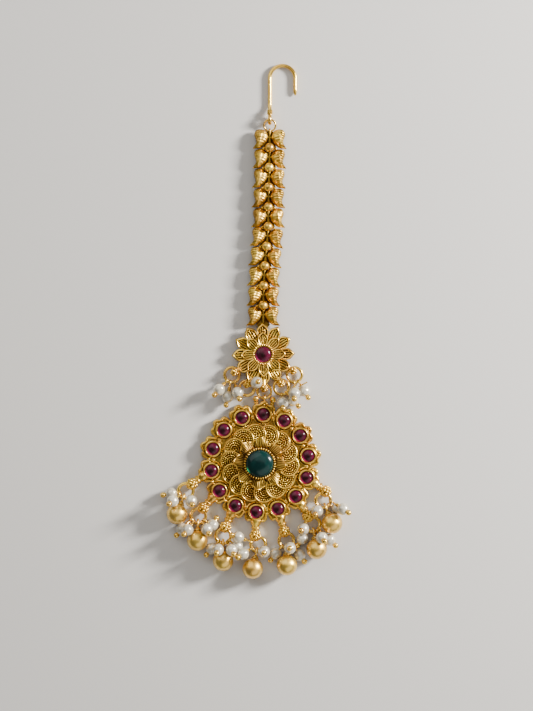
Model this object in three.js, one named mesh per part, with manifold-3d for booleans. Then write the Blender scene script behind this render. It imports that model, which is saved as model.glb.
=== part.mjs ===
// A forehead ornament on a leaf chain, lying on its back: hook, chain, flower, round medallion and drops.
// Millimetres, +Z up. The resting surface is Z = 0, the chain runs towards +Y, and the origin is the
// centre of the medallion's flat back. Angles are degrees anticlockwise from +X unless a name says turn.
import * as THREE from "three";
import { mergeVertices } from "three/addons/utils/BufferGeometryUtils.js";
import Module from "manifold-3d";

const wasm = await Module();
wasm.setup();

// Clearances
const STONE_GAP = 0.12; // round and under a stone in its collet
const LOOP_GAP = 0.15; // round a ring's wire in a bore

// Stones
const RUBY_R = 1.3;
const RUBY_H = 1.2;
const FLOWER_RUBY_R = 1.68;
const FLOWER_RUBY_H = 1.1;
const EMERALD_R = 2.95;
const EMERALD_H = 1.9;
const COLLET_WALL = 0.3;
const COLLET_LIP = 0.68; // how far a collet's rim stands over the stone's base

// Round medallion
const STONE_COUNT = 14;
const STONE_RING_R = 10.56; // centres of the rubies
const MEDALLION_TURN = 4.18; // clockwise, as it lies
const PLATE_T = 1.3;
const LOBE_MARGIN = 0.63; // metal round each ruby's collet
const BUMP_R = 0.95;
const BUMP_REACH = 1.95; // from a ruby's centre
const BUMP_SPREAD = 52; // of the two side bumps from the middle one
const LOBE_SAMPLES = 8; // outline points per lobe
const DOME_TOP = 2.9;
const DOME_SHOULDER = 2.6;
const DOME_EDGE = 1.5;
const COROLLA_R = 4.9;
const COROLLA_WAVE = 0.6;
const COROLLA_PETALS = 8;
const COROLLA_T = 0.7;

// Drops under the medallion
const STEM_LENGTH = 5.1; // from a ruby's centre to the bead's
const STEM_R = 1.1;
const BEAD_R = 1.3;
const DROP_RING_R = 1.6; // centre of the wire
const DROP_RING_WIRE = 0.3;
const BORE_OFFSET = 0.4; // from the bead's centre to the wire that passes through it
const BALL_R = 2.2;
const BALL_NECK = 0.45;
const BALL_EYE_R = 0.85;
const BALL_EYE_WIRE = 0.29;

// Pearls on headed pins
const PEARL_R = 1.3;
const PIN_R = 0.2;
const PIN_EYE_R = 0.55;
const PIN_BITE = 0.14; // how far a pin's eye is set into its ring's wire
const PIN_TIP_R = 0.6;
const PIN_TIP_REACH = 1.8; // from the pearl's centre to the tip's

// Flower
const OUTER_PETALS = 12;
const OUTER_TIP = 6.75;
const OUTER_HALF_WIDTH = 1.18;
const INNER_PETALS = 8;
const INNER_TIP = 5;
const INNER_HALF_WIDTH = 1.15;
const PETAL_BASE = 1.5;
const PETAL_T = 0.45;
const PETAL_Z = 1.25; // underside of the outer petals
const BOSS_R = 2.6;
const FLORET_R = 0.95;
const FLORET_REACH = 7.3;
const STAPLE_REACH = 6.45;
const STAPLE_R = 0.62;
const STAPLE_WIRE = 0.2;
const TOP_STAPLE_REACH = 5.8;
const FLOWER_RING_R = 1.6;
const FLOWER_RING_WIRE = 0.27;

// Link between medallion and flower
const CONNECTOR_R = 1.5;
const CONNECTOR_HEADING = 91.6;
const BAIL_OFFSET = 3.47; // from the circle of ruby centres out to the bail's centre
const BAIL_R = 0.65;
const BAIL_WIRE = 0.2;
const GRANULE_R = 0.65;

// Chain
const LINK_PITCH = 4.25;
const LEAF_SPAN = 3.64; // from the chain's middle to a leaf's tip
const LEAF_GAP = 0.22; // between a leaf and the next link's
const LEAF_Z = 1;
const LEAF_RIM = 0.35;
const LEAF_H = 1.3;
const SPINE_W = 0.9;
const SPINE_T = 0.4;
const CHAIN_BALL_R = 0.97;
const CHAIN_EYE_R = 0.5;
const CHAIN_EYE_WIRE = 0.18;
const TAIL_R = 0.6;
const TAIL_WIRE = 0.2;

// Hook
const HOOK_WIRE = 0.4;
const HOOK_EYE_R = 0.8;
const HOOK_SHANK = 9; // from the eye's centre to where the bend starts
const HOOK_BEND_R = 2.75;
const HOOK_PRONG = 4;
const HOOK_RING_R = 1.25;
const HOOK_RING_WIRE = 0.2;
const HOOK_RING_TILT = 14;

// Turn of each link, clockwise from +Y, from the hook down to the flower.
const LINK_TURNS = [0.5, 1, 1.5, 1, 1, 5, 5, 3, 1, 0];

// Outline of a link's right leaf: across as a share of LEAF_SPAN, along as a share of the leaf's length.
const LEAF_OUTLINE = [
  { across: 0.79, along: 0.42 },
  { across: 0.52, along: 0.48 },
  { across: 0.27, along: 0.385 },
  { across: 0.11, along: 0.12 },
  { across: 0.19, along: -0.105 },
  { across: 0.395, along: -0.33 },
  { across: 0.6, along: -0.5 },
  { across: 1, along: -0.52 },
  { across: 0.81, along: -0.33 },
  { across: 0.79, along: -0.105 },
  { across: 0.895, along: 0.16 },
  { across: 0.875, along: 0.31 },
];
const LEAF_CENTRE = { across: 0.55, along: 0.03 };

// A pearl's row: heading from the ring's centre, reach past the ring's wire and height over the resting
// surface, both in pearl radii. Where they differ from that, from is the heading of the pin's eye on the
// ring, and tip the heading of the pin's tip.
// A drop's row: its stone, and the headings of stem, ring and ball.
const DROPS = [
  {
    name: "11", stone: 11, stem: -145, ring: -132, ball: -111,
    pearls: [
      { heading: -170, reach: 1.22, height: 1.15 },
      { heading: -144, reach: 1.33, height: 3.1 },
      { heading: -60, reach: 0.63, height: 2.08 },
    ],
  },
  {
    name: "10", stone: 10, stem: -133, ring: -122, ball: -92,
    pearls: [
      { heading: -129, reach: 1.53, height: 2.85 },
      { heading: -55, reach: 1.3, height: 2.77 },
      { heading: -33, reach: 1.58, height: 1.04, tip: 60 },
      { heading: -141, reach: 2.25, height: 1.04, from: -155 },
    ],
  },
  {
    name: "09", stone: 9, stem: -115, ring: -103, ball: -90,
    pearls: [
      { heading: -132, reach: 1.6, height: 1.15 },
      { heading: -112, reach: 0.97, height: 3.3 },
      { heading: -56, reach: 1.33, height: 3 },
      { heading: -36, reach: 1.6, height: 1.08, tip: -100 },
    ],
  },
  {
    name: "08", stone: 8, stem: -92, ring: -72, ball: -103,
    pearls: [
      { heading: 158, reach: 2.33, height: 2.46 },
      { heading: -150, reach: 1.63, height: 2.5 },
      { heading: -49, reach: 0.2, height: 2.31 },
    ],
  },
  {
    name: "07", stone: 7, stem: -74, ring: -76, ball: -89,
    pearls: [
      { heading: -129, reach: 1.61, height: 1.04 },
      { heading: -63, reach: 0, height: 2.85 },
      { heading: -48, reach: 2.04, height: 1.04, from: -40 },
    ],
  },
  {
    name: "06", stone: 6, stem: -58, ring: -61, ball: -81,
    pearls: [
      { heading: -158, reach: 0.49, height: 2.23 },
      { heading: -54, reach: 1.22, height: 3.4, from: -61 },
      { heading: -42, reach: 2.54, height: 1.15, from: -38 },
      { heading: -126, reach: 1.71, height: 1.04 },
    ],
  },
  {
    name: "05", stone: 5, stem: -36, ring: -105, ball: -69,
    pearls: [
      { heading: -122, reach: 0.75, height: 2.23 },
      { heading: -22, reach: 2.23, height: 2.88, from: -8 },
      { heading: -29, reach: 1.43, height: 1.04, from: -33 },
    ],
  },
];
const FLOWER_RINGS = [
  {
    name: "1", heading: -147,
    pearls: [
      { heading: -131, reach: 2, height: 1.85 },
      { heading: -101, reach: 2.52, height: 1.04 },
      { heading: -72, reach: 1.88, height: 2.08 },
    ],
  },
  { name: "2", heading: -116, pearls: [{ heading: 30, reach: 0.59, height: 2.31 }] },
  {
    name: "3", heading: -61,
    pearls: [
      { heading: -86, reach: 1.31, height: 1.88 },
      { heading: -48, reach: 1.68, height: 1.04 },
    ],
  },
  {
    name: "4", heading: -33,
    pearls: [
      { heading: -91, reach: 1.84, height: 2.69 },
      { heading: -59, reach: 1.84, height: 1.15 },
    ],
  },
];
const FLORET_HEADINGS = [-150, -120, -90, -60, -30];

const GOLD = { color: 0xc99a3a, metalness: 1, roughness: 0.36 };
const BRIGHT_GOLD = { color: 0xd9a941, metalness: 1, roughness: 0.28 };
const PEARL = { color: 0xddd8cc, metalness: 0, roughness: 0.35 };
const RUBY = { color: 0x7a0f45, metalness: 0, roughness: 0.12 };
const EMERALD = { color: 0x0b4a3f, metalness: 0, roughness: 0.12 };

const UP = new THREE.Vector3(0, 0, 1);
const LATHE_AXIS = new THREE.Vector3(0, 1, 0);
const SMALL_SIDES = 6; // round a pearl, a bead or a small ball

function rad(degrees) {
  return THREE.MathUtils.degToRad(degrees);
}

function heading(degrees, length = 1, z = 0) {
  return new THREE.Vector3(Math.cos(rad(degrees)) * length, Math.sin(rad(degrees)) * length, z);
}

// A closed geometry as a solid, without the slivers of zero width that a lathe leaves on its axis.
function solid(geometry) {
  const bare = geometry.clone();
  bare.deleteAttribute("normal");
  bare.deleteAttribute("uv");
  const merged = mergeVertices(bare, 1e-4);
  const triangles = [];
  for (let i = 0; i < merged.index.count; i += 3) {
    const [a, b, c] = merged.index.array.slice(i, i + 3);
    if (a !== b && b !== c && c !== a) triangles.push(a, b, c);
  }
  return new wasm.Manifold(
    new wasm.Mesh({
      numProp: 3,
      vertProperties: new Float32Array(merged.attributes.position.array),
      triVerts: new Uint32Array(triangles),
    }),
  );
}

function join(solids) {
  return solids.reduce((whole, piece) => whole.add(piece));
}

function meshOf(name, body, finish) {
  const made = body.getMesh();
  const geometry = new THREE.BufferGeometry();
  geometry.setAttribute("position", new THREE.BufferAttribute(made.vertProperties, 3));
  geometry.setIndex(new THREE.BufferAttribute(made.triVerts, 1));
  geometry.computeVertexNormals();
  const mesh = new THREE.Mesh(geometry, new THREE.MeshStandardMaterial(finish));
  mesh.name = name;
  return mesh;
}

// Turned solid: the profile's pairs are radius and distance along the axis from the origin.
function turned(profile, sides, origin, axis = UP) {
  const points = profile.map(([radius, along]) => new THREE.Vector2(radius, along));
  const geometry = new THREE.LatheGeometry(points, sides);
  geometry.applyQuaternion(new THREE.Quaternion().setFromUnitVectors(LATHE_AXIS, axis));
  geometry.translate(origin.x, origin.y, origin.z);
  return solid(geometry);
}

function ring(radius, wire, centre, axis = UP, sides = 4, steps = 14) {
  const geometry = new THREE.TorusGeometry(radius, wire, sides, steps);
  geometry.applyQuaternion(new THREE.Quaternion().setFromUnitVectors(UP, axis));
  geometry.translate(centre.x, centre.y, centre.z);
  return solid(geometry);
}

// An eye stands upright, in the plane of the direction that it is fastened in.
function eye(radius, wire, centre, along, sides = 4, steps = 8) {
  const flat = new THREE.Vector3(along.x, along.y, 0).normalize();
  return ring(radius, wire, centre, flat.cross(UP), sides, steps);
}

function rod(radius, from, to, sides = 5) {
  const axis = to.clone().sub(from);
  const length = axis.length();
  const profile = [[0, 0], [radius, 0], [radius, length], [0, length]];
  return turned(profile, sides, from, axis.normalize());
}

function ball(radius, centre, sides = SMALL_SIDES, rows = 5, flatten = 1) {
  const geometry = new THREE.SphereGeometry(radius, sides, rows);
  geometry.rotateX(Math.PI / 2);
  geometry.scale(1, 1, flatten);
  geometry.translate(centre.x, centre.y, centre.z);
  return solid(geometry);
}

function slab(points, z, thickness) {
  const geometry = new THREE.ExtrudeGeometry(new THREE.Shape(points), {
    depth: thickness,
    bevelEnabled: false,
  });
  geometry.translate(0, 0, z);
  return solid(geometry);
}

// Solid over an outline that narrows towards a centre from level to level.
function stepped(outline, centre, levels) {
  const count = outline.length;
  const positions = [];
  const index = [];
  for (const { z, share } of levels) {
    for (const p of outline) {
      positions.push(centre.x + (p.x - centre.x) * share, centre.y + (p.y - centre.y) * share, z);
    }
  }
  for (let level = 0; level + 1 < levels.length; level += 1) {
    for (let i = 0; i < count; i += 1) {
      const a = level * count + i;
      const b = level * count + ((i + 1) % count);
      index.push(a, b, b + count, a, b + count, a + count);
    }
  }
  const top = (levels.length - 1) * count;
  for (const [a, b, c] of THREE.ShapeUtils.triangulateShape(outline, [])) {
    index.push(a, c, b, top + a, top + b, top + c);
  }
  const geometry = new THREE.BufferGeometry();
  geometry.setAttribute("position", new THREE.Float32BufferAttribute(positions, 3));
  geometry.setIndex(index);
  return solid(geometry);
}

// Rounded stone with a flat base at z = 0.
function cabochon(radius, height, sides) {
  const profile = [
    [0, 0],
    [radius, 0],
    [radius, height * 0.25],
    [radius * 0.74, height * 0.76],
    [0, height],
  ];
  return turned(profile, sides, new THREE.Vector3());
}

// Collet for a stone: a tube closed below, whose seat is at seatZ.
function collet(stoneR, wall, bottomZ, seatZ, sides, centre) {
  const inner = stoneR + STONE_GAP;
  const outer = inner + wall;
  const rimZ = seatZ + STONE_GAP + COLLET_LIP;
  const profile = [
    [0, bottomZ],
    [outer, bottomZ],
    [outer, rimZ],
    [inner, rimZ],
    [inner, seatZ],
    [0, seatZ],
  ];
  return turned(profile, sides, centre);
}

// Headed pin whose eye hangs on a ring's wire, with its pearl.
function pearlOnPin(ringCentre, ringR, wire, row) {
  const out = heading(row.from ?? row.heading);
  const hang = PIN_EYE_R - PIN_R - wire + PIN_BITE;
  const start = ringCentre.clone().addScaledVector(out, ringR + hang);
  const centre = heading(row.heading, ringR + row.reach * PEARL_R).add(ringCentre);
  centre.z = row.height * PEARL_R;
  const along = centre.clone().sub(start).normalize();
  const tipAlong = row.tip === undefined ? along : heading(row.tip);
  const profile = [
    [0, -PEARL_R],
    [PEARL_R * 0.9, -PEARL_R * 0.5],
    [PEARL_R * 0.9, PEARL_R * 0.5],
    [PIN_R, PEARL_R],
    [PIN_TIP_R, PIN_TIP_REACH],
    [0, PIN_TIP_REACH + PIN_TIP_R],
  ];
  return join([
    eye(PIN_EYE_R, PIN_R, start, out, 4, 6),
    rod(PIN_R, start.clone().addScaledVector(along, PIN_EYE_R), centre, 4),
    turned(profile, SMALL_SIDES, centre, tipAlong),
  ]);
}

function pearlRing(name, centre, radius, wire, pearls) {
  const pins = pearls.map((row) => pearlOnPin(centre, radius, wire, row));
  return meshOf(name, join([ring(radius, wire, centre), ...pins]), PEARL);
}

const ornament = new THREE.Group();

// Stones and lobes of the medallion are counted clockwise from the one under the bail.
const STONE_STEP = 360 / STONE_COUNT;
const COLLET_R = RUBY_R + STONE_GAP + COLLET_WALL;
const LOBE_R = COLLET_R + LOBE_MARGIN;
const PLATE_R = STONE_RING_R + 0.64;
const BAIL_REACH = STONE_RING_R + BAIL_OFFSET;
const DOME_R = STONE_RING_R - COLLET_R - 0.24;
const SEAT_Z = PLATE_T + 0.05;
const EMERALD_SEAT_Z = DOME_TOP;
const EMERALD_OUTER_R = EMERALD_R + STONE_GAP + COLLET_WALL - 0.02;

function stoneHeading(number) {
  return 90 - STONE_STEP * (number - 1);
}

// Distance to the far side of a disc, seen from the medallion's centre; zero where it is missed.
function farSide(discReach, discHeading, discR, degrees) {
  const off = rad(degrees - discHeading);
  const side = discReach * Math.sin(off);
  const ahead = Math.cos(off) > 0 && Math.abs(side) < discR;
  return ahead ? discReach * Math.cos(off) + Math.sqrt(discR * discR - side * side) : 0;
}

function medallionOutline() {
  const bumpHeadings = [-BUMP_SPREAD, 0, BUMP_SPREAD];
  const discs = [{ reach: STONE_RING_R, off: 0, radius: LOBE_R }];
  for (const spread of bumpHeadings) {
    const x = STONE_RING_R + BUMP_REACH * Math.cos(rad(spread));
    const y = BUMP_REACH * Math.sin(rad(spread));
    discs.push({
      reach: Math.hypot(x, y),
      off: THREE.MathUtils.radToDeg(Math.atan2(y, x)),
      radius: BUMP_R,
    });
  }
  const points = [];
  const samples = STONE_COUNT * LOBE_SAMPLES;
  for (let i = 0; i < samples; i += 1) {
    const degrees = 90 + (360 * i) / samples;
    const lobe = 90 + STONE_STEP * Math.round((degrees - 90) / STONE_STEP);
    const reaches = discs.map((d) => farSide(d.reach, lobe + d.off, d.radius, degrees));
    const p = heading(degrees, Math.max(PLATE_R, ...reaches));
    points.push(new THREE.Vector2(p.x, p.y));
  }
  return points;
}

function medallionDome() {
  return turned(
    [
      [0, PLATE_T / 2],
      [DOME_R, PLATE_T / 2],
      [DOME_R, DOME_EDGE],
      [DOME_R * 0.6, DOME_SHOULDER],
      [EMERALD_OUTER_R, DOME_TOP],
      [0, DOME_TOP],
    ],
    28,
    new THREE.Vector3(),
  );
}

function corolla() {
  const points = [];
  const samples = COROLLA_PETALS * 4;
  for (let i = 0; i < samples; i += 1) {
    const degrees = (360 * i) / samples;
    const p = heading(degrees, COROLLA_R + COROLLA_WAVE * Math.cos(rad(degrees * COROLLA_PETALS)));
    points.push(new THREE.Vector2(p.x, p.y));
  }
  return slab(points, DOME_TOP + 0.1 - COROLLA_T, COROLLA_T);
}

// Places of a drop, in the ornament's own frame.
function dropPlaces(drop) {
  const stone = heading(stoneHeading(drop.stone) - MEDALLION_TURN, STONE_RING_R, BEAD_R);
  const bead = stone.clone().add(heading(drop.stem, STEM_LENGTH));
  const ringCentre = bead.clone().add(heading(drop.ring, DROP_RING_R + BORE_OFFSET));
  const out = heading(drop.ball);
  const loop = ringCentre.clone().addScaledVector(out, DROP_RING_R + 0.05);
  const toBall = BALL_R + BALL_NECK + BALL_EYE_R + 0.2;
  const rise = BALL_R - loop.z;
  const ballCentre = loop.clone().addScaledVector(out, Math.sqrt(toBall * toBall - rise * rise));
  ballCentre.z = BALL_R;
  return { stone, bead, ringCentre, loop, ballCentre };
}

// Stem from a lobe with the bead on its end, bored for the ring.
function stem(drop) {
  const { stone, bead, ringCentre } = dropPlaces(drop);
  const axis = bead.clone().sub(stone).normalize();
  const beadStart = STEM_LENGTH - BEAD_R;
  const profile = [
    [0, RUBY_R],
    [STEM_R, RUBY_R],
    [STEM_R * 0.5, beadStart],
    [BEAD_R * 0.75, STEM_LENGTH - BEAD_R * 0.66],
    [BEAD_R, STEM_LENGTH],
    [BEAD_R * 0.75, STEM_LENGTH + BEAD_R * 0.66],
    [0, STEM_LENGTH + BEAD_R],
  ];
  const bore = ring(DROP_RING_R, DROP_RING_WIRE + LOOP_GAP, ringCentre);
  return turned(profile, SMALL_SIDES, stone, axis).subtract(bore);
}

// Bail over the first stone, between two granules on short arms.
function bail() {
  const centre = new THREE.Vector3(0, BAIL_REACH, BAIL_R + BAIL_WIRE);
  const pieces = [eye(BAIL_R, BAIL_WIRE, centre, LATHE_AXIS)];
  for (const side of [-1, 1]) {
    const granule = new THREE.Vector3(side * 1.85, BAIL_REACH - 0.23, 1);
    const root = new THREE.Vector3(side * 1.55, STONE_RING_R + BUMP_REACH * 0.62, 0.8);
    pieces.push(ball(GRANULE_R, granule), rod(GRANULE_R * 0.55, root, granule));
  }
  return join(pieces);
}

function medallionMetal() {
  const collets = [];
  for (let number = 1; number <= STONE_COUNT; number += 1) {
    const centre = heading(stoneHeading(number), STONE_RING_R);
    collets.push(collet(RUBY_R, COLLET_WALL, PLATE_T / 2, SEAT_Z, 10, centre));
  }
  const stems = join(DROPS.map(stem)).rotate([0, 0, MEDALLION_TURN]);
  return join([
    slab(medallionOutline(), 0, PLATE_T),
    medallionDome(),
    corolla(),
    collet(EMERALD_R, COLLET_WALL - 0.02, DOME_SHOULDER, EMERALD_SEAT_Z, 28, new THREE.Vector3()),
    ...collets,
    stems,
    bail(),
  ]);
}

const medallion = new THREE.Group();
medallion.rotation.z = -rad(MEDALLION_TURN);
medallion.add(meshOf("medallion", medallionMetal(), GOLD));

const emerald = meshOf("emerald", cabochon(EMERALD_R, EMERALD_H, 20), EMERALD);
emerald.position.z = EMERALD_SEAT_Z + STONE_GAP;
medallion.add(emerald);

for (let number = 1; number <= STONE_COUNT; number += 1) {
  const label = String(number).padStart(2, "0");
  const ruby = meshOf("ruby_" + label, cabochon(RUBY_R, RUBY_H, 10), RUBY);
  ruby.position.copy(heading(stoneHeading(number), STONE_RING_R, SEAT_Z + STONE_GAP));
  medallion.add(ruby);
}
ornament.add(medallion);

// Drops: a ring with its pearls, and a gold ball on an upright eye.
function goldBall(drop) {
  const { loop, ballCentre } = dropPlaces(drop);
  const axis = loop.clone().sub(ballCentre).normalize();
  const profile = [[0, -BALL_R]];
  for (const degrees of [-55, -20, 20, 55]) {
    profile.push([BALL_R * Math.cos(rad(degrees)), BALL_R * Math.sin(rad(degrees))]);
  }
  profile.push([0.6, BALL_R], [0.5, BALL_R + BALL_NECK], [0, BALL_R + BALL_NECK + 0.1]);
  const body = turned(profile, 12, ballCentre, axis);
  const loopEye = eye(BALL_EYE_R, BALL_EYE_WIRE, loop, heading(drop.ball), 5, 9);
  return meshOf("ball_" + drop.name, body.add(loopEye), BRIGHT_GOLD);
}

for (const drop of DROPS) {
  const { ringCentre } = dropPlaces(drop);
  ornament.add(
    pearlRing("pearl_ring_" + drop.name, ringCentre, DROP_RING_R, DROP_RING_WIRE, drop.pearls),
    goldBall(drop),
  );
}

// The bail, the connector and the flower follow each other along the connector's heading.
const BAIL = heading(90 - MEDALLION_TURN, BAIL_REACH, BAIL_R + BAIL_WIRE);
const CONNECTOR = BAIL.clone().add(heading(CONNECTOR_HEADING, CONNECTOR_R));
const FLOWER = BAIL.clone().add(heading(CONNECTOR_HEADING, 2 * CONNECTOR_R + STAPLE_REACH));
const FLOWER_TURN = CONNECTOR_HEADING - 90;
const STAPLE_Z = STAPLE_R + STAPLE_WIRE + 0.03;
const INNER_PETAL_Z = PETAL_Z + PETAL_T - 0.05;
const BOSS_TOP = INNER_PETAL_Z + PETAL_T;
const FLOWER_SEAT_Z = BOSS_TOP + 0.1;

const connector = ring(CONNECTOR_R, FLOWER_RING_WIRE, CONNECTOR);
ornament.add(meshOf("connector_ring", connector, GOLD));

// Pointed petal along +X from its base to its tip, turned to its heading.
function petal(tip, halfWidth, z, degrees) {
  const shape = new THREE.Shape();
  const bulge = 1.85 * halfWidth;
  const root = 0.3 * halfWidth;
  const middle = (PETAL_BASE + tip) / 2;
  shape.moveTo(PETAL_BASE, -root);
  shape.quadraticCurveTo(middle, -bulge, tip, 0);
  shape.quadraticCurveTo(middle, bulge, PETAL_BASE, root);
  const geometry = new THREE.ExtrudeGeometry(shape, {
    depth: PETAL_T,
    bevelEnabled: false,
    curveSegments: 4,
  });
  geometry.translate(0, 0, z);
  geometry.rotateZ(rad(degrees));
  return solid(geometry);
}

function flowerMetal() {
  const base = new THREE.Vector3();
  const boss = [
    [0, 0],
    [BOSS_R, 0],
    [BOSS_R * 0.9, BOSS_TOP],
    [0, BOSS_TOP],
  ];
  const pieces = [turned(boss, 16, base)];
  for (let i = 0; i < OUTER_PETALS; i += 1) {
    const degrees = 90 + (360 * i) / OUTER_PETALS;
    pieces.push(petal(OUTER_TIP, OUTER_HALF_WIDTH, PETAL_Z, degrees));
  }
  for (let i = 0; i < INNER_PETALS; i += 1) {
    const degrees = 90 + (360 * i) / INNER_PETALS;
    pieces.push(petal(INNER_TIP, INNER_HALF_WIDTH, INNER_PETAL_Z, degrees));
  }
  pieces.push(collet(FLOWER_RUBY_R, COLLET_WALL, INNER_PETAL_Z, FLOWER_SEAT_Z, 14, base));
  for (const degrees of FLORET_HEADINGS) {
    const centre = heading(degrees, FLORET_REACH, PETAL_Z + PETAL_T + 0.25);
    pieces.push(ball(FLORET_R, centre, 8, 4, 0.6));
  }
  const staples = FLOWER_RINGS.map((row) => row.heading - FLOWER_TURN);
  for (const degrees of [...staples, -90]) {
    const centre = heading(degrees, STAPLE_REACH, STAPLE_Z);
    pieces.push(eye(STAPLE_R, STAPLE_WIRE, centre, centre, 4, 7));
  }
  const top = heading(90 - FLOWER_TURN, TOP_STAPLE_REACH, CHAIN_EYE_R + CHAIN_EYE_WIRE);
  pieces.push(eye(CHAIN_EYE_R, CHAIN_EYE_WIRE, top, top));
  return join(pieces);
}

const flower = new THREE.Group();
flower.position.set(FLOWER.x, FLOWER.y, 0);
flower.rotation.z = rad(FLOWER_TURN);
flower.add(meshOf("flower", flowerMetal(), GOLD));
const flowerRuby = meshOf("flower_ruby", cabochon(FLOWER_RUBY_R, FLOWER_RUBY_H, 14), RUBY);
flowerRuby.position.z = FLOWER_SEAT_Z + STONE_GAP;
flower.add(flowerRuby);
ornament.add(flower);

for (const row of FLOWER_RINGS) {
  const centre = heading(row.heading, STAPLE_REACH + FLOWER_RING_R).add(FLOWER).setZ(STAPLE_Z);
  const name = "flower_ring_" + row.name;
  ornament.add(pearlRing(name, centre, FLOWER_RING_R, FLOWER_RING_WIRE, row.pearls));
}

// Chain. A link's own frame has +Y towards the hook; its upper eye takes the tail ring of the link above.
const CHAIN_EYE_Z = CHAIN_EYE_R + CHAIN_EYE_WIRE;
const EYE_Y = LINK_PITCH * 0.39;
const TAIL_END_Y = EYE_Y - LINK_PITCH;
const LEAF_LENGTH = LINK_PITCH - LEAF_GAP;

function leaf(side) {
  const place = (p) => new THREE.Vector2(side * p.across * LEAF_SPAN, p.along * LEAF_LENGTH);
  const outline = LEAF_OUTLINE.map(place);
  if (side < 0) outline.reverse();
  return stepped(outline, place(LEAF_CENTRE), [
    { z: LEAF_Z, share: 1 },
    { z: LEAF_Z + LEAF_RIM, share: 1 },
    { z: LEAF_Z + LEAF_H, share: 0.5 },
  ]);
}

function bar(width, y0, y1, z0, z1) {
  const geometry = new THREE.BoxGeometry(width, y1 - y0, z1 - z0);
  geometry.translate(0, (y0 + y1) / 2, (z0 + z1) / 2);
  return solid(geometry);
}

function chainLink(hasBall) {
  const tail = new THREE.Vector3(0, TAIL_END_Y + TAIL_R, CHAIN_EYE_Z);
  const spineEnd = TAIL_END_Y + 2 * TAIL_R - 0.05;
  const ballZ = LEAF_Z + SPINE_T + CHAIN_BALL_R + 0.08;
  const pieces = [
    leaf(-1),
    leaf(1),
    bar(SPINE_W, spineEnd, EYE_Y + 0.2, LEAF_Z, LEAF_Z + SPINE_T),
    bar(SPINE_W * 0.6, spineEnd, spineEnd + 0.4, CHAIN_EYE_Z - 0.1, hasBall ? ballZ : LEAF_Z + 0.1),
    eye(CHAIN_EYE_R, CHAIN_EYE_WIRE, new THREE.Vector3(0, EYE_Y, CHAIN_EYE_Z), LATHE_AXIS, 4, 6),
    ring(TAIL_R, TAIL_WIRE, tail, UP, 4, 8),
  ];
  if (hasBall) pieces.push(ball(CHAIN_BALL_R, new THREE.Vector3(0, -LINK_PITCH * 0.49, ballZ)));
  return join(pieces);
}

// Links are placed from the flower up, each tail ring on the eye below it.
const LINK_COUNT = LINK_TURNS.length;
const nextEye = FLOWER.clone().add(new THREE.Vector3(0, TOP_STAPLE_REACH, 0));
for (let number = LINK_COUNT; number >= 1; number -= 1) {
  const turn = LINK_TURNS[number - 1];
  const along = heading(90 - turn);
  const label = String(number).padStart(2, "0");
  const link = meshOf("chain_link_" + label, chainLink(number < LINK_COUNT), GOLD);
  nextEye.addScaledVector(along, -TAIL_END_Y);
  link.position.set(nextEye.x, nextEye.y, 0);
  link.rotation.z = -rad(turn);
  ornament.add(link);
  nextEye.addScaledVector(along, EYE_Y);
}

// Plain wire hook on a ring that rises from the first link's eye.
const tilt = rad(HOOK_RING_TILT);
const rise = new THREE.Vector3(0, Math.cos(tilt), Math.sin(tilt));
const chainEnd = nextEye.clone().setZ(CHAIN_EYE_Z);
const hookRingCentre = chainEnd.clone().addScaledVector(rise, HOOK_RING_R);
const hookEye = chainEnd.clone().addScaledVector(rise, 2 * HOOK_RING_R);
const hookRingAxis = new THREE.Vector3(0, -Math.sin(tilt), Math.cos(tilt));
const hookRing = ring(HOOK_RING_R, HOOK_RING_WIRE, hookRingCentre, hookRingAxis);
ornament.add(meshOf("hook_ring", hookRing, GOLD));

function hookMetal() {
  const low = HOOK_WIRE + 0.1;
  const top = hookEye.y + HOOK_SHANK;
  const bendX = hookEye.x + HOOK_BEND_R;
  const route = [
    new THREE.Vector3(hookEye.x, hookEye.y + HOOK_EYE_R, hookEye.z),
    new THREE.Vector3(hookEye.x, hookEye.y + HOOK_EYE_R + 1.2, hookEye.z - 0.1),
    new THREE.Vector3(hookEye.x, (hookEye.y + top) / 2 + 1, low + 0.25),
  ];
  for (let degrees = 180; degrees >= 0; degrees -= 30) {
    route.push(heading(degrees, HOOK_BEND_R, low).add(new THREE.Vector3(bendX, top, 0)));
  }
  route.push(new THREE.Vector3(bendX + HOOK_BEND_R, top - HOOK_PRONG / 2, low));
  route.push(new THREE.Vector3(bendX + HOOK_BEND_R, top - HOOK_PRONG, low));
  const section = new THREE.Shape();
  section.absarc(0, 0, HOOK_WIRE, 0, 2 * Math.PI);
  const wire = new THREE.ExtrudeGeometry(section, {
    steps: 24,
    curveSegments: 4,
    bevelEnabled: false,
    extrudePath: new THREE.CatmullRomCurve3(route),
  });
  return join([
    solid(wire),
    eye(HOOK_EYE_R, HOOK_WIRE, hookEye, LATHE_AXIS, 6, 10),
    ball(HOOK_WIRE, route[route.length - 1]),
  ]);
}
ornament.add(meshOf("hook", hookMetal(), GOLD));

export default ornament;
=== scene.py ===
import math

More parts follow.
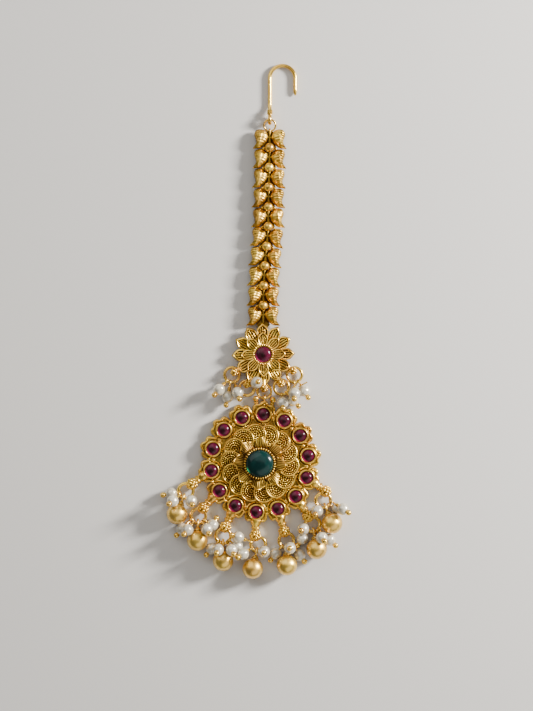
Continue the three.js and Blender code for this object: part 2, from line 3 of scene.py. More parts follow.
import bpy
import numpy as np
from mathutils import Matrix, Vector


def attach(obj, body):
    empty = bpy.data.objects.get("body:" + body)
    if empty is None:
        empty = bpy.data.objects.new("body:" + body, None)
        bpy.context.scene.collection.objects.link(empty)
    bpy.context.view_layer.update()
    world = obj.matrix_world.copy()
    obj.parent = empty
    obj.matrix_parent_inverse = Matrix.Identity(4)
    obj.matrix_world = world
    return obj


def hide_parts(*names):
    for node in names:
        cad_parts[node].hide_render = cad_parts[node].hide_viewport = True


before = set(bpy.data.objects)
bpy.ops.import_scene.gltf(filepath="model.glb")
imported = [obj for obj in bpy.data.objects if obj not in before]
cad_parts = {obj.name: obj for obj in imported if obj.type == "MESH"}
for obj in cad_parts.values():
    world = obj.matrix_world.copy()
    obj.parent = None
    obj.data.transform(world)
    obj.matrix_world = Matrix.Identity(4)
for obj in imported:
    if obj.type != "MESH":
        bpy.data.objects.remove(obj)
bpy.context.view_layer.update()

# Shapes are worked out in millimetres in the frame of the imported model, and meshes are made in metres.
MM = 0.001
UP = np.array([0.0, 0.0, 1.0])
ACROSS = np.array([1.0, 0.0, 0.0])

# Camera and picture
PICTURE_H = 711
MM_PER_PIXEL = 0.2165
CAMERA_HEIGHT = 400.0
CAMERA_SPOT = np.array([1.46, 23.22])  # straight above this point
SENSOR_HEIGHT = 24

# Stones
RUBY_R, RUBY_H = 1.3, 1.2
FLOWER_RUBY_R, FLOWER_RUBY_H = 1.68, 1.1
EMERALD_R, EMERALD_H = 2.95, 1.9
STONE_GAP = 0.12
COLLET_WALL = 0.3

# Round medallion
STONE_COUNT = 14
STONE_STEP = 360 / STONE_COUNT
STONE_RING_R = 10.56
MEDALLION_TURN = 4.18
PLATE_T = 1.3
LOBE_R = 2.35
PLATE_R = 11.2
BUMP_R, BUMP_REACH, BUMP_SPREAD = 0.95, 1.95, 52
SEAT_Z = 1.35
DOME_TOP = 2.9
DISC_R, DISC_REACH, DISC_Z = 2.38, 6.2, 2.22
DISC_SLOPE_OUT, DISC_SLOPE_ROUND = 0.16, 0.14

# Drops
STEM_LENGTH, BEAD_R = 5.1, 1.3
DROP_RING_R, DROP_RING_WIRE, BORE_OFFSET = 1.6, 0.3, 0.4
BALL_R, BALL_NECK, BALL_EYE_R, BALL_EYE_WIRE = 2.25, 0.45, 0.85, 0.29
PEARL_R, PIN_R, PIN_EYE_R, PIN_BITE = 1.3, 0.2, 0.55, 0.14
PIN_TIP_R, PIN_TIP_REACH = 0.6, 1.8

# Flower
OUTER_PETALS, OUTER_TIP, OUTER_HALF_WIDTH = 12, 6.85, 1.27
INNER_PETALS, INNER_TIP, INNER_HALF_WIDTH = 8, 5.1, 1.13
PETAL_BASE, PETAL_T, PETAL_Z, PETAL_STEPS = 1.5, 0.45, 1.25, 15
INNER_PETAL_Z = PETAL_Z + PETAL_T - 0.05
BOSS_TOP = INNER_PETAL_Z + PETAL_T
FLORET_R, FLORET_REACH = 0.95, 7.3
STAPLE_REACH, STAPLE_R, STAPLE_WIRE = 6.45, 0.62, 0.2
TOP_STAPLE_REACH = 5.8
FLOWER_RING_R, FLOWER_RING_WIRE = 1.6, 0.27
CONNECTOR_R, CONNECTOR_HEADING = 1.5, 91.6
BAIL_OFFSET, BAIL_R, BAIL_WIRE = 3.47, 0.65, 0.2  # offset outwards from the circle of rubies

# Chain and hook
LINK_PITCH, LEAF_SPAN, LEAF_GAP = 4.25, 3.64, 0.08
LEAF_Z, LEAF_RIM, LEAF_H, LEAF_STEPS = 1.0, 0.35, 1.3, 64
CHAIN_BALL_R, CHAIN_EYE_R, CHAIN_EYE_WIRE = 0.97, 0.5, 0.18
TAIL_R, TAIL_WIRE = 0.6, 0.2
LINK_TURNS = [0.5, 1, 1.5, 1, 1, 5, 5, 3, 1, 0]
HOOK_WIRE, HOOK_EYE_R, HOOK_SHANK, HOOK_BEND_R, HOOK_PRONG = 0.4, 0.8, 9.0, 2.75, 4.0
HOOK_RING_R, HOOK_RING_WIRE, HOOK_RING_TILT = 1.25, 0.2, 14

# A pearl's row: its heading, reach and height as in the model, then the heading of its eye on the ring
# where that is another, and the heading of its tip where that doesn't follow the pin.
DROPS = [
    dict(stone=11, stem=-145, ring=-132, ball=-111, pearls=[
        (-170, 1.22, 1.15), (-144, 1.33, 3.1), (-60, 0.63, 2.08)]),
    dict(stone=10, stem=-133, ring=-122, ball=-92, pearls=[
        (-129, 1.53, 2.85), (-55, 1.3, 2.77), (-33, 1.58, 1.04, -33, 60), (-141, 2.25, 1.04, -155)]),
    dict(stone=9, stem=-115, ring=-103, ball=-90, pearls=[
        (-132, 1.6, 1.15), (-112, 0.97, 3.3), (-56, 1.33, 3.0), (-36, 1.6, 1.08, -36, -100)]),
    dict(stone=8, stem=-92, ring=-72, ball=-103, pearls=[
        (158, 2.33, 2.46), (-150, 1.63, 2.5), (-49, 0.2, 2.31)]),
    dict(stone=7, stem=-74, ring=-76, ball=-89, pearls=[
        (-129, 1.61, 1.04), (-63, 0.0, 2.85), (-48, 2.04, 1.04, -40)]),
    dict(stone=6, stem=-58, ring=-61, ball=-81, pearls=[
        (-158, 0.49, 2.23), (-54, 1.22, 3.4, -61), (-42, 2.54, 1.15, -38), (-126, 1.71, 1.04)]),
    dict(stone=5, stem=-36, ring=-105, ball=-69, pearls=[
        (-122, 0.75, 2.23), (-22, 2.23, 2.88, -8), (-29, 1.43, 1.04, -33)]),
]
FLOWER_RINGS = [
    dict(heading=-147, pearls=[(-131, 2.0, 1.85), (-101, 2.52, 1.04), (-72, 1.88, 2.08)]),
    dict(heading=-116, pearls=[(30, 0.59, 2.31)]),
    dict(heading=-61, pearls=[(-86, 1.31, 1.88), (-48, 1.68, 1.04)]),
    dict(heading=-33, pearls=[(-91, 1.84, 2.69), (-59, 1.84, 1.15)],
         stray=[(8.4, 16.6, 2.6), (9.0, 16.9, 3.3), (9.7, 17.25, 3.4), (10.2, 17.5, 3.3)]),
]
FLORET_HEADINGS = [-150, -120, -90, -60, -30]


def in_scene(name, data):
    obj = bpy.data.objects.new(name, data)
    bpy.context.scene.collection.objects.link(obj)
    return obj


# Camera
def make_camera():
    """Camera that looks straight down and sees the photograph's field."""
    field_height = PICTURE_H * MM_PER_PIXEL
    data = bpy.data.cameras.new("camera")
    data.sensor_fit = "VERTICAL"
    data.sensor_height = SENSOR_HEIGHT
    data.lens = SENSOR_HEIGHT * CAMERA_HEIGHT / field_height
    camera = in_scene("camera", data)
    camera.location = (CAMERA_SPOT[0] * MM, CAMERA_SPOT[1] * MM, CAMERA_HEIGHT * MM)
    bpy.context.scene.camera = camera


make_camera()


# Vectors
def unit(v):
    v = np.asarray(v, float)
    return v / np.linalg.norm(v)


def heading(degrees, length=1.0, z=0.0):
    a = math.radians(degrees)
    return np.array([math.cos(a) * length, math.sin(a) * length, z])


def turned(degrees):
    """Rows that turn points anticlockwise about +Z, used as points @ turned(degrees)."""
    a = math.radians(degrees)
    return np.array([[math.cos(a), math.sin(a), 0], [-math.sin(a), math.cos(a), 0], [0, 0, 1]])


def circle(steps):
    """Angles of that many equal steps round a circle."""
    return 2 * np.pi * np.arange(steps) / steps


def basis(axis):
    """Rows x, y and axis of a right-handed frame."""
    axis = unit(axis)
    helper = ACROSS if abs(axis[0]) < 0.9 else np.array([0, 1.0, 0])
    x = unit(np.cross(helper, axis))
    return np.array([x, np.cross(axis, x), axis])


def spline(points, count):
    """Smooth curve through the points, with count samples."""
    p = np.asarray(points, float)
    padded = np.vstack([2 * p[0] - p[1], p, 2 * p[-1] - p[-2]])
    t = np.linspace(0, len(p) - 1, count)
    i = np.minimum(t.astype(int), len(p) - 2)
    f = (t - i)[:, None]
    a, b, c, d = padded[i], padded[i + 1], padded[i + 2], padded[i + 3]
    return 0.5 * (2 * b + (c - a) * f + (2 * a - 5 * b + 4 * c - d) * f**2 + (3 * b - a - 3 * c + d) * f**3)


# Shapes. Each gives its points and its faces, and a Build gathers them into one mesh.
class Build:
    def __init__(self):
        self.points, self.faces, self.recess, self.count = [], [], [], 0

    def add(self, shape, turn=None, shift=None, recess=0.0):
        """Recess, the depth in tarnish and painted shade, is a number, a list or a function of the points."""
        points, faces = shape
        points = np.asarray(points, float)
        depth = recess(points) if callable(recess) else recess
        self.recess.append(np.broadcast_to(depth, (len(points),)))
        if turn is not None:
            points = points @ turn
        if shift is not None:
            points = points + np.asarray(shift, float)
        self.points.append(points)
        self.faces.extend([tuple(i + self.count for i in f) for f in faces])
        self.count += len(points)

    def piece(self, name, material, nodes, frame_turn=0.0, frame_shift=(0, 0, 0), sharp=40,
              slot="antique_gold"):
        """One object of all that was added, turned about +Z and moved into the frame."""
        points = (np.vstack(self.points) @ turned(frame_turn) + np.asarray(frame_shift, float)) * MM
        mesh = bpy.data.meshes.new(name)
        mesh.from_pydata(points.tolist(), [], self.faces)
        mesh.polygons.foreach_set("use_smooth", [True] * len(mesh.polygons))
        mesh.set_sharp_from_angle(angle=math.radians(sharp))
        mesh.materials.append(material)
        mesh.attributes.new("recess", "FLOAT", "POINT").data.foreach_set("value", np.concatenate(self.recess))
        obj = in_scene(name, mesh)
        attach(obj, "root")
        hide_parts(*nodes)
        return obj


def sphere(radius, sides, rows, scale=(1, 1, 1)):
    """Ball round the origin with its poles on Z."""
    points = [(0, 0, radius)]
    for j in range(1, rows):
        lift, wide = radius * math.cos(math.pi * j / rows), radius * math.sin(math.pi * j / rows)
        points += [(wide * math.cos(2 * math.pi * i / sides), wide * math.sin(2 * math.pi * i / sides), lift)
                   for i in range(sides)]
    points.append((0, 0, -radius))
    faces = [(0, 1 + i, 1 + (i + 1) % sides) for i in range(sides)]
    for j in range(rows - 2):
        a, b = 1 + j * sides, 1 + (j + 1) * sides
        faces += [(a + i, b + i, b + (i + 1) % sides, a + (i + 1) % sides) for i in range(sides)]
    last, end = 1 + (rows - 2) * sides, len(points) - 1
    faces += [(last + (i + 1) % sides, last + i, end) for i in range(sides)]
    return np.array(points) * np.array(scale), faces


GRANULE = sphere(1.0, 8, 5)


def granule(radius):
    """Coarse ball for the smallest grains."""
    return GRANULE[0] * radius, GRANULE[1]


def lattice(rows, columns, wrap_rows=False, wrap_columns=False):
    """Quads of a grid of points, row by row."""
    faces = []
    for r in range(rows if wrap_rows else rows - 1):
        for c in range(columns if wrap_columns else columns - 1):
            r2, c2 = (r + 1) % rows, (c + 1) % columns
            faces.append((r * columns + c, r * columns + c2, r2 * columns + c2, r2 * columns + c))
    return faces


def revolve(profile, sides, loop=False):
    """Turned about +Z. Pairs are radius and height; an open profile runs up from axis to axis."""
    angles = circle(sides)
    rings = profile if loop else [(r, z) for r, z in profile if r > 0]
    points = [(r * math.cos(a), r * math.sin(a), z) for r, z in rings for a in angles]
    faces = lattice(len(rings), sides, wrap_rows=loop, wrap_columns=True)
    if not loop:
        low, top, last = len(points), len(points) + 1, len(points) - sides
        points += [(0, 0, profile[0][1]), (0, 0, profile[-1][1])]
        faces += [(low, (i + 1) % sides, i) for i in range(sides)]
        faces += [(top, last + i, last + (i + 1) % sides) for i in range(sides)]
    return np.array(points), faces


def sweep(path, radius, sides, closed=False):
    """Round wire along a path; radius is one number or one for each point."""
    path = np.asarray(path, float)
    n = len(path)
    radii = np.broadcast_to(radius, (n,))
    ahead, behind = np.roll(path, -1, axis=0), np.roll(path, 1, axis=0)
    if not closed:
        ahead[-1], behind[0] = path[-1], path[0]
    tangents = ahead - behind
    tangents /= np.linalg.norm(tangents, axis=1)[:, None]
    side = basis(tangents[0])[0]
    angles = circle(sides)
    rings, sides_along = [], []
    for t in tangents:
        side = unit(side - t * np.dot(side, t))
        sides_along.append(side)
    drift = 0.0
    if closed:
        back = unit(sides_along[-1] - tangents[0] * np.dot(sides_along[-1], tangents[0]))
        drift = math.atan2(np.dot(np.cross(sides_along[0], back), tangents[0]), np.dot(sides_along[0], back))
    for k in range(n):
        other = np.cross(tangents[k], sides_along[k])
        a = angles - drift * k / n
        rings.append(path[k] + radii[k] * (np.outer(np.cos(a), sides_along[k]) + np.outer(np.sin(a), other)))
    points = np.vstack(rings)
    faces = lattice(n, sides, wrap_rows=closed, wrap_columns=True)
    if not closed:
        faces.append(tuple(range(sides))[::-1])
        faces.append(tuple((n - 1) * sides + i for i in range(sides)))
    return points, [f[::-1] for f in faces]


def ring(radius, wire, centre, axis, steps, sides):
    """Closed ring of round wire; radius runs to the wire's centre."""
    x, y, _ = basis(axis)
    a = circle(steps)
    path = np.asarray(centre, float) + radius * (np.outer(np.cos(a), x) + np.outer(np.sin(a), y))
    return sweep(path, wire, sides, closed=True)


def eye_axis(along):
    """Axis of an upright eye on a wire in that direction."""
    flat = unit([along[0], along[1], 0])
    return np.cross(flat, UP)


def shell(top, bottom):
    """Closed solid between two grids of the same size whose rows close on themselves."""
    rows, columns, _ = top.shape
    size = rows * columns
    faces = lattice(rows, columns, wrap_rows=True)
    faces += [tuple(size + i for i in f[::-1]) for f in faces]
    for r in range(rows):
        for c, flip in ((0, False), (columns - 1, True)):
            a, b = r * columns + c, (r + 1) % rows * columns + c
            quad = (a, b, size + b, size + a)
            faces.append(quad[::-1] if flip else quad)
    return np.vstack([top.reshape(-1, 3), bottom.reshape(-1, 3)]), faces


# Materials. Noises are in waves to a metre, and reaches and grains in metres.
TONE_NOISE, WEAR_NOISE, GLOSS_NOISE, GRAIN_NOISE = 260, 900, 1400, 2600
CLOUD_NOISE, STONE_NOISE = 900, 350
NACRE_NOISE, NACRE_GRAIN = 700, 1500


def set_inputs(made, values):
    for name, value in values.items():
        made.inputs[name].default_value = value


def node(tree, kind, inputs=None, **settings):
    made = tree.nodes.new(kind)
    for name, value in settings.items():
        setattr(made, name, value)
    set_inputs(made, inputs or {})
    return made


def attribute(tree, name):
    return node(tree, "ShaderNodeAttribute", attribute_name=name).outputs["Fac"]


def start_material(name):
    material = bpy.data.materials.new(name)
    material.use_nodes = True
    tree = material.node_tree
    return material, tree, tree.nodes["Principled BSDF"]


def noise(tree, scale, detail=3.0):
    where = node(tree, "ShaderNodeTexCoord")
    made = node(tree, "ShaderNodeTexNoise", {"Scale": scale, "Detail": detail, "Roughness": 0.55})
    tree.links.new(where.outputs["Object"], made.inputs["Vector"])
    return made.outputs["Fac"]


def ramp(tree, value, low, high, low_out=0.0, high_out=1.0):
    """Value stretched from low and high to low_out and high_out, and held within them."""
    ends = {"From Min": low, "From Max": high, "To Min": low_out, "To Max": high_out}
    made = node(tree, "ShaderNodeMapRange", ends)
    tree.links.new(value, made.inputs["Value"])
    return made.outputs["Result"]


def mix(tree, factor, low, high):
    """Colour that goes from low to high with the factor; both are colours or outputs."""
    made = node(tree, "ShaderNodeMix", data_type="RGBA")
    tree.links.new(factor, made.inputs["Factor"])
    for socket, value in ((made.inputs["A"], low), (made.inputs["B"], high)):
        if isinstance(value, tuple):
            socket.default_value = (*value, 1.0)
        else:
            tree.links.new(value, socket)
    return made.outputs["Result"]


def math_node(tree, operation, a, b):
    made = node(tree, "ShaderNodeMath", operation=operation)
    for socket, value in zip(made.inputs, (a, b)):
        if isinstance(value, (int, float)):
            socket.default_value = value
        else:
            tree.links.new(value, socket)
    return made.outputs["Value"]


def bump(tree, shader, height, distance, strength=1.0):
    made = node(tree, "ShaderNodeBump", {"Strength": strength, "Distance": distance})
    tree.links.new(height, made.inputs["Height"])
    tree.links.new(made.outputs["Normal"], shader.inputs["Normal"])


def gold(name, bright, body, recess, rough, rough_recess, reach, grain, gloss=0.0):
    """Plated metal with tarnish and painted shade in its recesses, uneven tone and a fine cast grain."""
    material, tree, shader = start_material(name)
    # Painted shade: ambient occlusion darkens creases and gaps, and with wear and the recess attribute it
    # sets the patina.
    open_air = node(tree, "ShaderNodeAmbientOcclusion", {"Distance": reach}, samples=8, only_local=True)
    deep = attribute(tree, "recess")
    wear = ramp(tree, noise(tree, WEAR_NOISE), 0.3, 0.7, -0.1, 0.1)
    shade_and_wear = math_node(tree, "ADD", open_air.outputs["AO"], wear)
    patina_and_shade = ramp(tree, math_node(tree, "SUBTRACT", shade_and_wear, deep), 0.2, 0.85)
    tone = mix(tree, ramp(tree, noise(tree, TONE_NOISE), 0.35, 0.65), body, bright)
    tree.links.new(mix(tree, patina_and_shade, recess, tone), shader.inputs["Base Color"])
    uneven = ramp(tree, noise(tree, GLOSS_NOISE), 0.3, 0.7, -0.06, 0.06)
    roughness = math_node(tree, "ADD", ramp(tree, patina_and_shade, 0, 1, rough_recess, rough), uneven)
    tree.links.new(roughness, shader.inputs["Roughness"])
    set_inputs(shader, {"Metallic": 1.0, "Coat Weight": gloss, "Coat Roughness": 0.1})
    bump(tree, shader, noise(tree, GRAIN_NOISE, 4.0), grain)
    return material


def stone(name, deep, body, glint_glow_color):
    """Foil-backed cabochon: gloss over a body with painted shade in the middle and a painted glint at one
    edge that also glows.
    """
    material, tree, shader = start_material(name)
    painted_glint, core = attribute(tree, "painted_glint"), attribute(tree, "core")
    clouds = ramp(tree, noise(tree, CLOUD_NOISE), 0.3, 0.6, 0.3, 1.0)
    # Painted shade: the body darkens towards the middle.
    clear = ramp(tree, math_node(tree, "SUBTRACT", clouds, core), 0, 1)
    inner = mix(tree, clear, deep, body)
    # Painted glint: the edge takes the glint colour and also emits it, so it glows though the stone is no
    # lamp.
    tree.links.new(mix(tree, painted_glint, inner, glint_glow_color), shader.inputs["Base Color"])
    tree.links.new(mix(tree, painted_glint, deep, glint_glow_color), shader.inputs["Emission Color"])
    tree.links.new(ramp(tree, painted_glint, 0, 1, 0, 0.55), shader.inputs["Emission Strength"])
    set_inputs(shader, {"Roughness": 0.2, "IOR": 1.32, "Coat Weight": 0.1, "Coat Roughness": 0.06})
    bump(tree, shader, noise(tree, STONE_NOISE), 0.00003, 0.5)
    return material


def pearl(name, dark, light, painted_shade_color):
    """Lustrous bead with an uneven surface, with painted shade towards the floor."""
    material, tree, shader = start_material(name)
    # Painted shade: the recess attribute darkens a pearl below its shoulder.
    underside_shade = attribute(tree, "recess")
    tone = mix(tree, ramp(tree, noise(tree, NACRE_NOISE), 0.3, 0.7), dark, light)
    tree.links.new(mix(tree, underside_shade, tone, painted_shade_color), shader.inputs["Base Color"])
    set_inputs(shader, {"Metallic": 0.3, "Roughness": 0.3, "IOR": 1.75,
                        "Coat Weight": 1.0, "Coat IOR": 1.8, "Coat Roughness": 0.09})
    bump(tree, shader, noise(tree, NACRE_GRAIN, 2.0), 0.0001, 0.8)
    return material


# The recess colours are for tarnish and painted shade in the hollows.
ANTIQUE = gold("antique_gold", bright=(1.0, 0.665, 0.1), body=(0.76, 0.42, 0.08),
               recess=(0.055, 0.018, 0.003), rough=0.27, rough_recess=0.5, reach=0.00035, grain=0.00002)
LEAF = gold("leaf_gold", bright=(1.0, 0.665, 0.1), body=(0.64, 0.35, 0.06),
            recess=(0.05, 0.016, 0.003), rough=0.34, rough_recess=0.5, reach=0.00045, grain=0.00002)
WIRE = gold("wire_gold", bright=(1.0, 0.675, 0.12), body=(0.84, 0.49, 0.1),
            recess=(0.1, 0.036, 0.006), rough=0.22, rough_recess=0.42, reach=0.0003, grain=0.00001)
SATIN = gold("satin_gold", bright=(0.98, 0.65, 0.11), body=(0.84, 0.5, 0.1),
             recess=(0.18, 0.08, 0.02), rough=0.36, rough_recess=0.42, reach=0.0004, grain=0.00001, gloss=1.0)
RUBY = stone("ruby_glass", (0.012, 0.003, 0.003), (0.077, 0.003, 0.02), glint_glow_color=(0.85, 0.05, 0.3))
EMERALD = stone("emerald_glass", (0.001, 0.012, 0.011), (0.002, 0.024, 0.021), glint_glow_color=(0.0, 1.0, 0.45))
PEARL = pearl("pearl_lustre", (0.46, 0.41, 0.3), (0.78, 0.72, 0.57), painted_shade_color=(0.16, 0.13, 0.08))


# Outlines
def discs_outline(discs, angles):
    """Reach of a union of discs from the middle, for each angle. A disc is its centre and radius."""
    best = np.zeros(len(angles))
    x, y = np.cos(angles), np.sin(angles)
    for cx, cy, r in discs:
        along = cx * x + cy * y
        inside = r * r - (cx * cx + cy * cy - along**2)
        reach = np.where(inside > 0, along + np.sqrt(np.maximum(inside, 0)), 0)
        best = np.maximum(best, reach)
    return best


def spun(discs, degrees):
    """Discs turned anticlockwise about the middle."""
    a = math.radians(degrees)
    c, s = math.cos(a), math.sin(a)
    return [(c * x - s * y, s * x + c * y, r) for x, y, r in discs]


def lobed_outline(inset, angles):
    """Edge of the medallion's plate, moved inwards."""
    lobe = [(STONE_RING_R, 0, LOBE_R - inset)]
    for spread in (-BUMP_SPREAD, 0, BUMP_SPREAD):
        x, y, _ = heading(spread, BUMP_REACH)
        lobe.append((STONE_RING_R + x, y, BUMP_R - inset))
    discs = [(0, 0, PLATE_R - inset)]
    for k in range(STONE_COUNT):
        discs += spun(lobe, 90 - STONE_STEP * k)
    return discs_outline(discs, angles)


def polar_path(reach, angles, z):
    """Points at those reaches, angles and heights; z may be one number."""
    return np.column_stack([reach * np.cos(angles), reach * np.sin(angles), np.full(len(angles), z)])


def leaf_outline(side):
    """Outline of a chain leaf from its tip round to its tip; shares are of its span and length."""
    shares = [(1, -0.52), (0.84, -0.34), (0.81, -0.105), (0.905, 0.14), (0.89, 0.31), (0.77, 0.44),
              (0.54, 0.48), (0.27, 0.4), (0.1, 0.14), (0.15, -0.12), (0.36, -0.35), (0.6, -0.5), (1, -0.52)]
    points = [(side * x * LEAF_SPAN, y * (LINK_PITCH - LEAF_GAP)) for x, y in shares]
    points = spline(points, LEAF_STEPS + 1)[:-1]
    return points if side > 0 else points[::-1]


def petal_outline(tip, half_width, widest, inset=0.0):
    """Pointed petal along +X, anticlockwise from its base; widest says at which share of its length."""
    shares = [(0, 0.4), (widest * 0.5, 0.8), (widest, 1), (widest + (1 - widest) * 0.45, 0.8), (1, 0)]
    length = tip - PETAL_BASE - inset * 2.2
    edge = spline([(PETAL_BASE + x * length, y * (half_width - inset)) for x, y in shares], PETAL_STEPS)
    lower = edge * np.array([1, -1])
    return np.vstack([lower, edge[-2::-1]])


def relief(outline, centre, height, z_bottom, rings):
    """Solid over an outline: rings run out from the centre, and height gives the top for x, y and share."""
    outline, centre = np.asarray(outline, float), np.asarray(centre, float)
    n = len(outline)
    points = [(centre[0], centre[1], height(centre[0], centre[1], 0.0))]
    for k in range(1, rings + 1):
        share = math.sin(math.pi / 2 * k / rings)
        for p in centre + share * (outline - centre):
            points.append((p[0], p[1], height(p[0], p[1], share)))
    points += [(p[0], p[1], z_bottom) for p in outline]
    points.append((centre[0], centre[1], z_bottom))
    faces = [(0, 1 + i, 1 + (i + 1) % n) for i in range(n)]
    for k in range(rings):
        a, b = 1 + k * n, 1 + (k + 1) * n
        faces += [(a + i, b + i, b + (i + 1) % n, a + (i + 1) % n) for i in range(n)]
    last, end = 1 + rings * n, len(points) - 1
    faces += [(end, last + (i + 1) % n, last + i) for i in range(n)]
    return np.array(points), faces


def rod(start, end, r0, r1=None, sides=10):
    """Round bar from start to end, tapered where r1 is given."""
    r1 = r0 if r1 is None else r1
    return sweep(np.array([start, end], float), np.array([r0, r1]), sides)


LUMP_WAVES, GOLDEN_ANGLE = 7, 2.39996


def lumpy(radius, amount, seed):
    """Slightly uneven ball, as a real pearl is."""
    points, faces = sphere(radius, 28, 18)
    local = np.random.default_rng(seed)
    for _ in range(LUMP_WAVES):
        way = local.normal(size=3)
        way *= (1.2 + 1.6 * local.random()) / np.linalg.norm(way) / radius
        wave = np.sin(points @ way * 2.2 + local.random() * 6.28)
        points = points * (1 + amount * wave)[:, None]
    return points, faces


def cluster(build, centre, radius, granule_r, count, core):
    """Granules spread evenly over a round core, along a spiral."""
    centre = np.asarray(centre, float)
    build.add(sphere(core, 14, 9), shift=centre, recess=0.5)
    for k in range(count):
        z = 1 - (2 * k + 1) / count
        a = k * GOLDEN_ANGLE
        flat = math.sqrt(1 - z * z)
        way = np.array([flat * math.cos(a), flat * math.sin(a), z])
        build.add(sphere(granule_r, 12, 8), shift=centre + (radius - granule_r) * way)


# Chain. A link is made with its eye towards +Y and its tail towards -Y.
EYE_Y = 1.6575
TAIL_END_Y = EYE_Y - LINK_PITCH
CHAIN_EYE_Z = CHAIN_EYE_R + CHAIN_EYE_WIRE
RIDGE_X = 0.58 * LEAF_SPAN
# The ribs' grooves take tarnish and painted shade; a left leaf's outer strip takes painted shade.
RIB_PITCH, RIB_DEPTH, RIB_TARNISH_AND_SHADE = 0.58, 0.085, 0.52
STRIP_START, STRIP_STEP, STRIP_PAINTED_SHADE = 0.3, 0.09, 0.5
# How much of the ribs is left on each leaf, from link 1 down
LEFT_RIBS = [0.4, 0.1, 0.1, 0.1, 0.15, 0.6, 0.7, 0.75, 0.65, 0.4]
RIGHT_RIBS = [1.3, 1.4, 1.1, 1.4, 0.4, 1.4, 1.1, 1.2, 1.0, 1.2]
# Outline of the backing between a link's leaves
BACKING = [(-1.45, -2.0), (-0.9, -2.55), (0.9, -2.55), (1.45, -2.0), (1.0, -0.4),
           (0.95, 0.6), (0.75, 1.5), (-0.75, 1.5), (-0.95, 0.6), (-1.0, -0.4)]
BACKING_T, SPINE_R, SPINE_MIDDLE_R, STRUT_R, LEAF_TIP_R = 0.16, 0.3, 0.4, 0.3, 0.2
LINK_BALL, LINK_POST_R = np.array([0, -2.08, 2.45]), 0.42
BOW_HALF, BOW_DEPTH, BOW_Y, BOW_Z, BOW_WIRE, BOW_BALL_R = 1.25, 0.28, -2.22, 1.7, 0.16, 0.25


def leaf_ribs(side, number, x, y):
    """Distance out from a leaf's ridge, the wave of its ribs and how much of them shows there."""
    across = side * x - RIDGE_X + 0.2 * y
    wave = np.cos(2 * np.pi * (y + 0.2 * across**2 + 0.17 * number) / RIB_PITCH)
    right = side * across
    if side > 0:
        return across, wave, np.clip(0.6 + 0.6 * right, 0.35, 1) * RIGHT_RIBS[number - 1]
    return across, wave, np.maximum(np.clip(1.6 * right - 0.5, 0.05, 0.9), LEFT_RIBS[number - 1])


def leaf_recess(side, number):
    """Tarnish and painted shade between a leaf's ribs and along its edge, and painted shade over the outer
    strip of a left leaf.
    """
    def recess(points):
        across, wave, shows = leaf_ribs(side, number, points[:, 0], points[:, 1])
        shade_and_wear = 1 - LEFT_RIBS[number - 1]
        # Painted shade: a left leaf darkens over its outer strip, the side away from the key light.
        strip = STRIP_PAINTED_SHADE * np.clip((across - STRIP_START) / 0.25, 0, 1) * shade_and_wear * (side < 0)
        edge = 0.3 * (points[:, 2] < LEAF_Z + 0.25)
        return RIB_TARNISH_AND_SHADE * shows * (1 - wave) / 2 + strip + edge
    return recess


def leaf_height(side, number):
    """Top of a leaf: a dome with a ridge and ribs and, on the left, a lower outer strip."""
    def height(x, y, share):
        across, wave, shows = leaf_ribs(side, number, x, y)
        lift = LEAF_RIM + (LEAF_H - LEAF_RIM) * (1 - share**2.8) ** 0.8
        ridge = 0.16 * math.exp(-(across / 0.3) ** 2) * (1 - share**4)
        step = STRIP_STEP * min(1, max(0, (across - STRIP_START) / 0.15)) * (side < 0)
        return LEAF_Z + max(0.12, lift * 1.05 + RIB_DEPTH * float(wave * shows) + ridge - step - 0.07)
    return height


def link_ball(build):
    """Ball on a post, and an oval bow of wire with a small ball at each end."""
    build.add(sphere(CHAIN_BALL_R, 32, 20), shift=LINK_BALL)
    build.add(ring(0.52, BOW_WIRE, LINK_BALL - (0, 0, 0.92), UP, 20, 8))
    build.add(rod((0, -1.7, LEAF_Z), LINK_BALL - (0, 0, 0.6), LINK_POST_R))
    a = circle(32)
    bow = np.column_stack([BOW_HALF * np.cos(a), BOW_Y + BOW_DEPTH * np.sin(a), np.full(len(a), BOW_Z)])
    build.add(sweep(bow, BOW_WIRE, 8, closed=True), recess=0.25)
    for side in (-1, 1):
        build.add(sphere(BOW_BALL_R, 12, 8), shift=(side * 1.35, -2.25, 1.75))


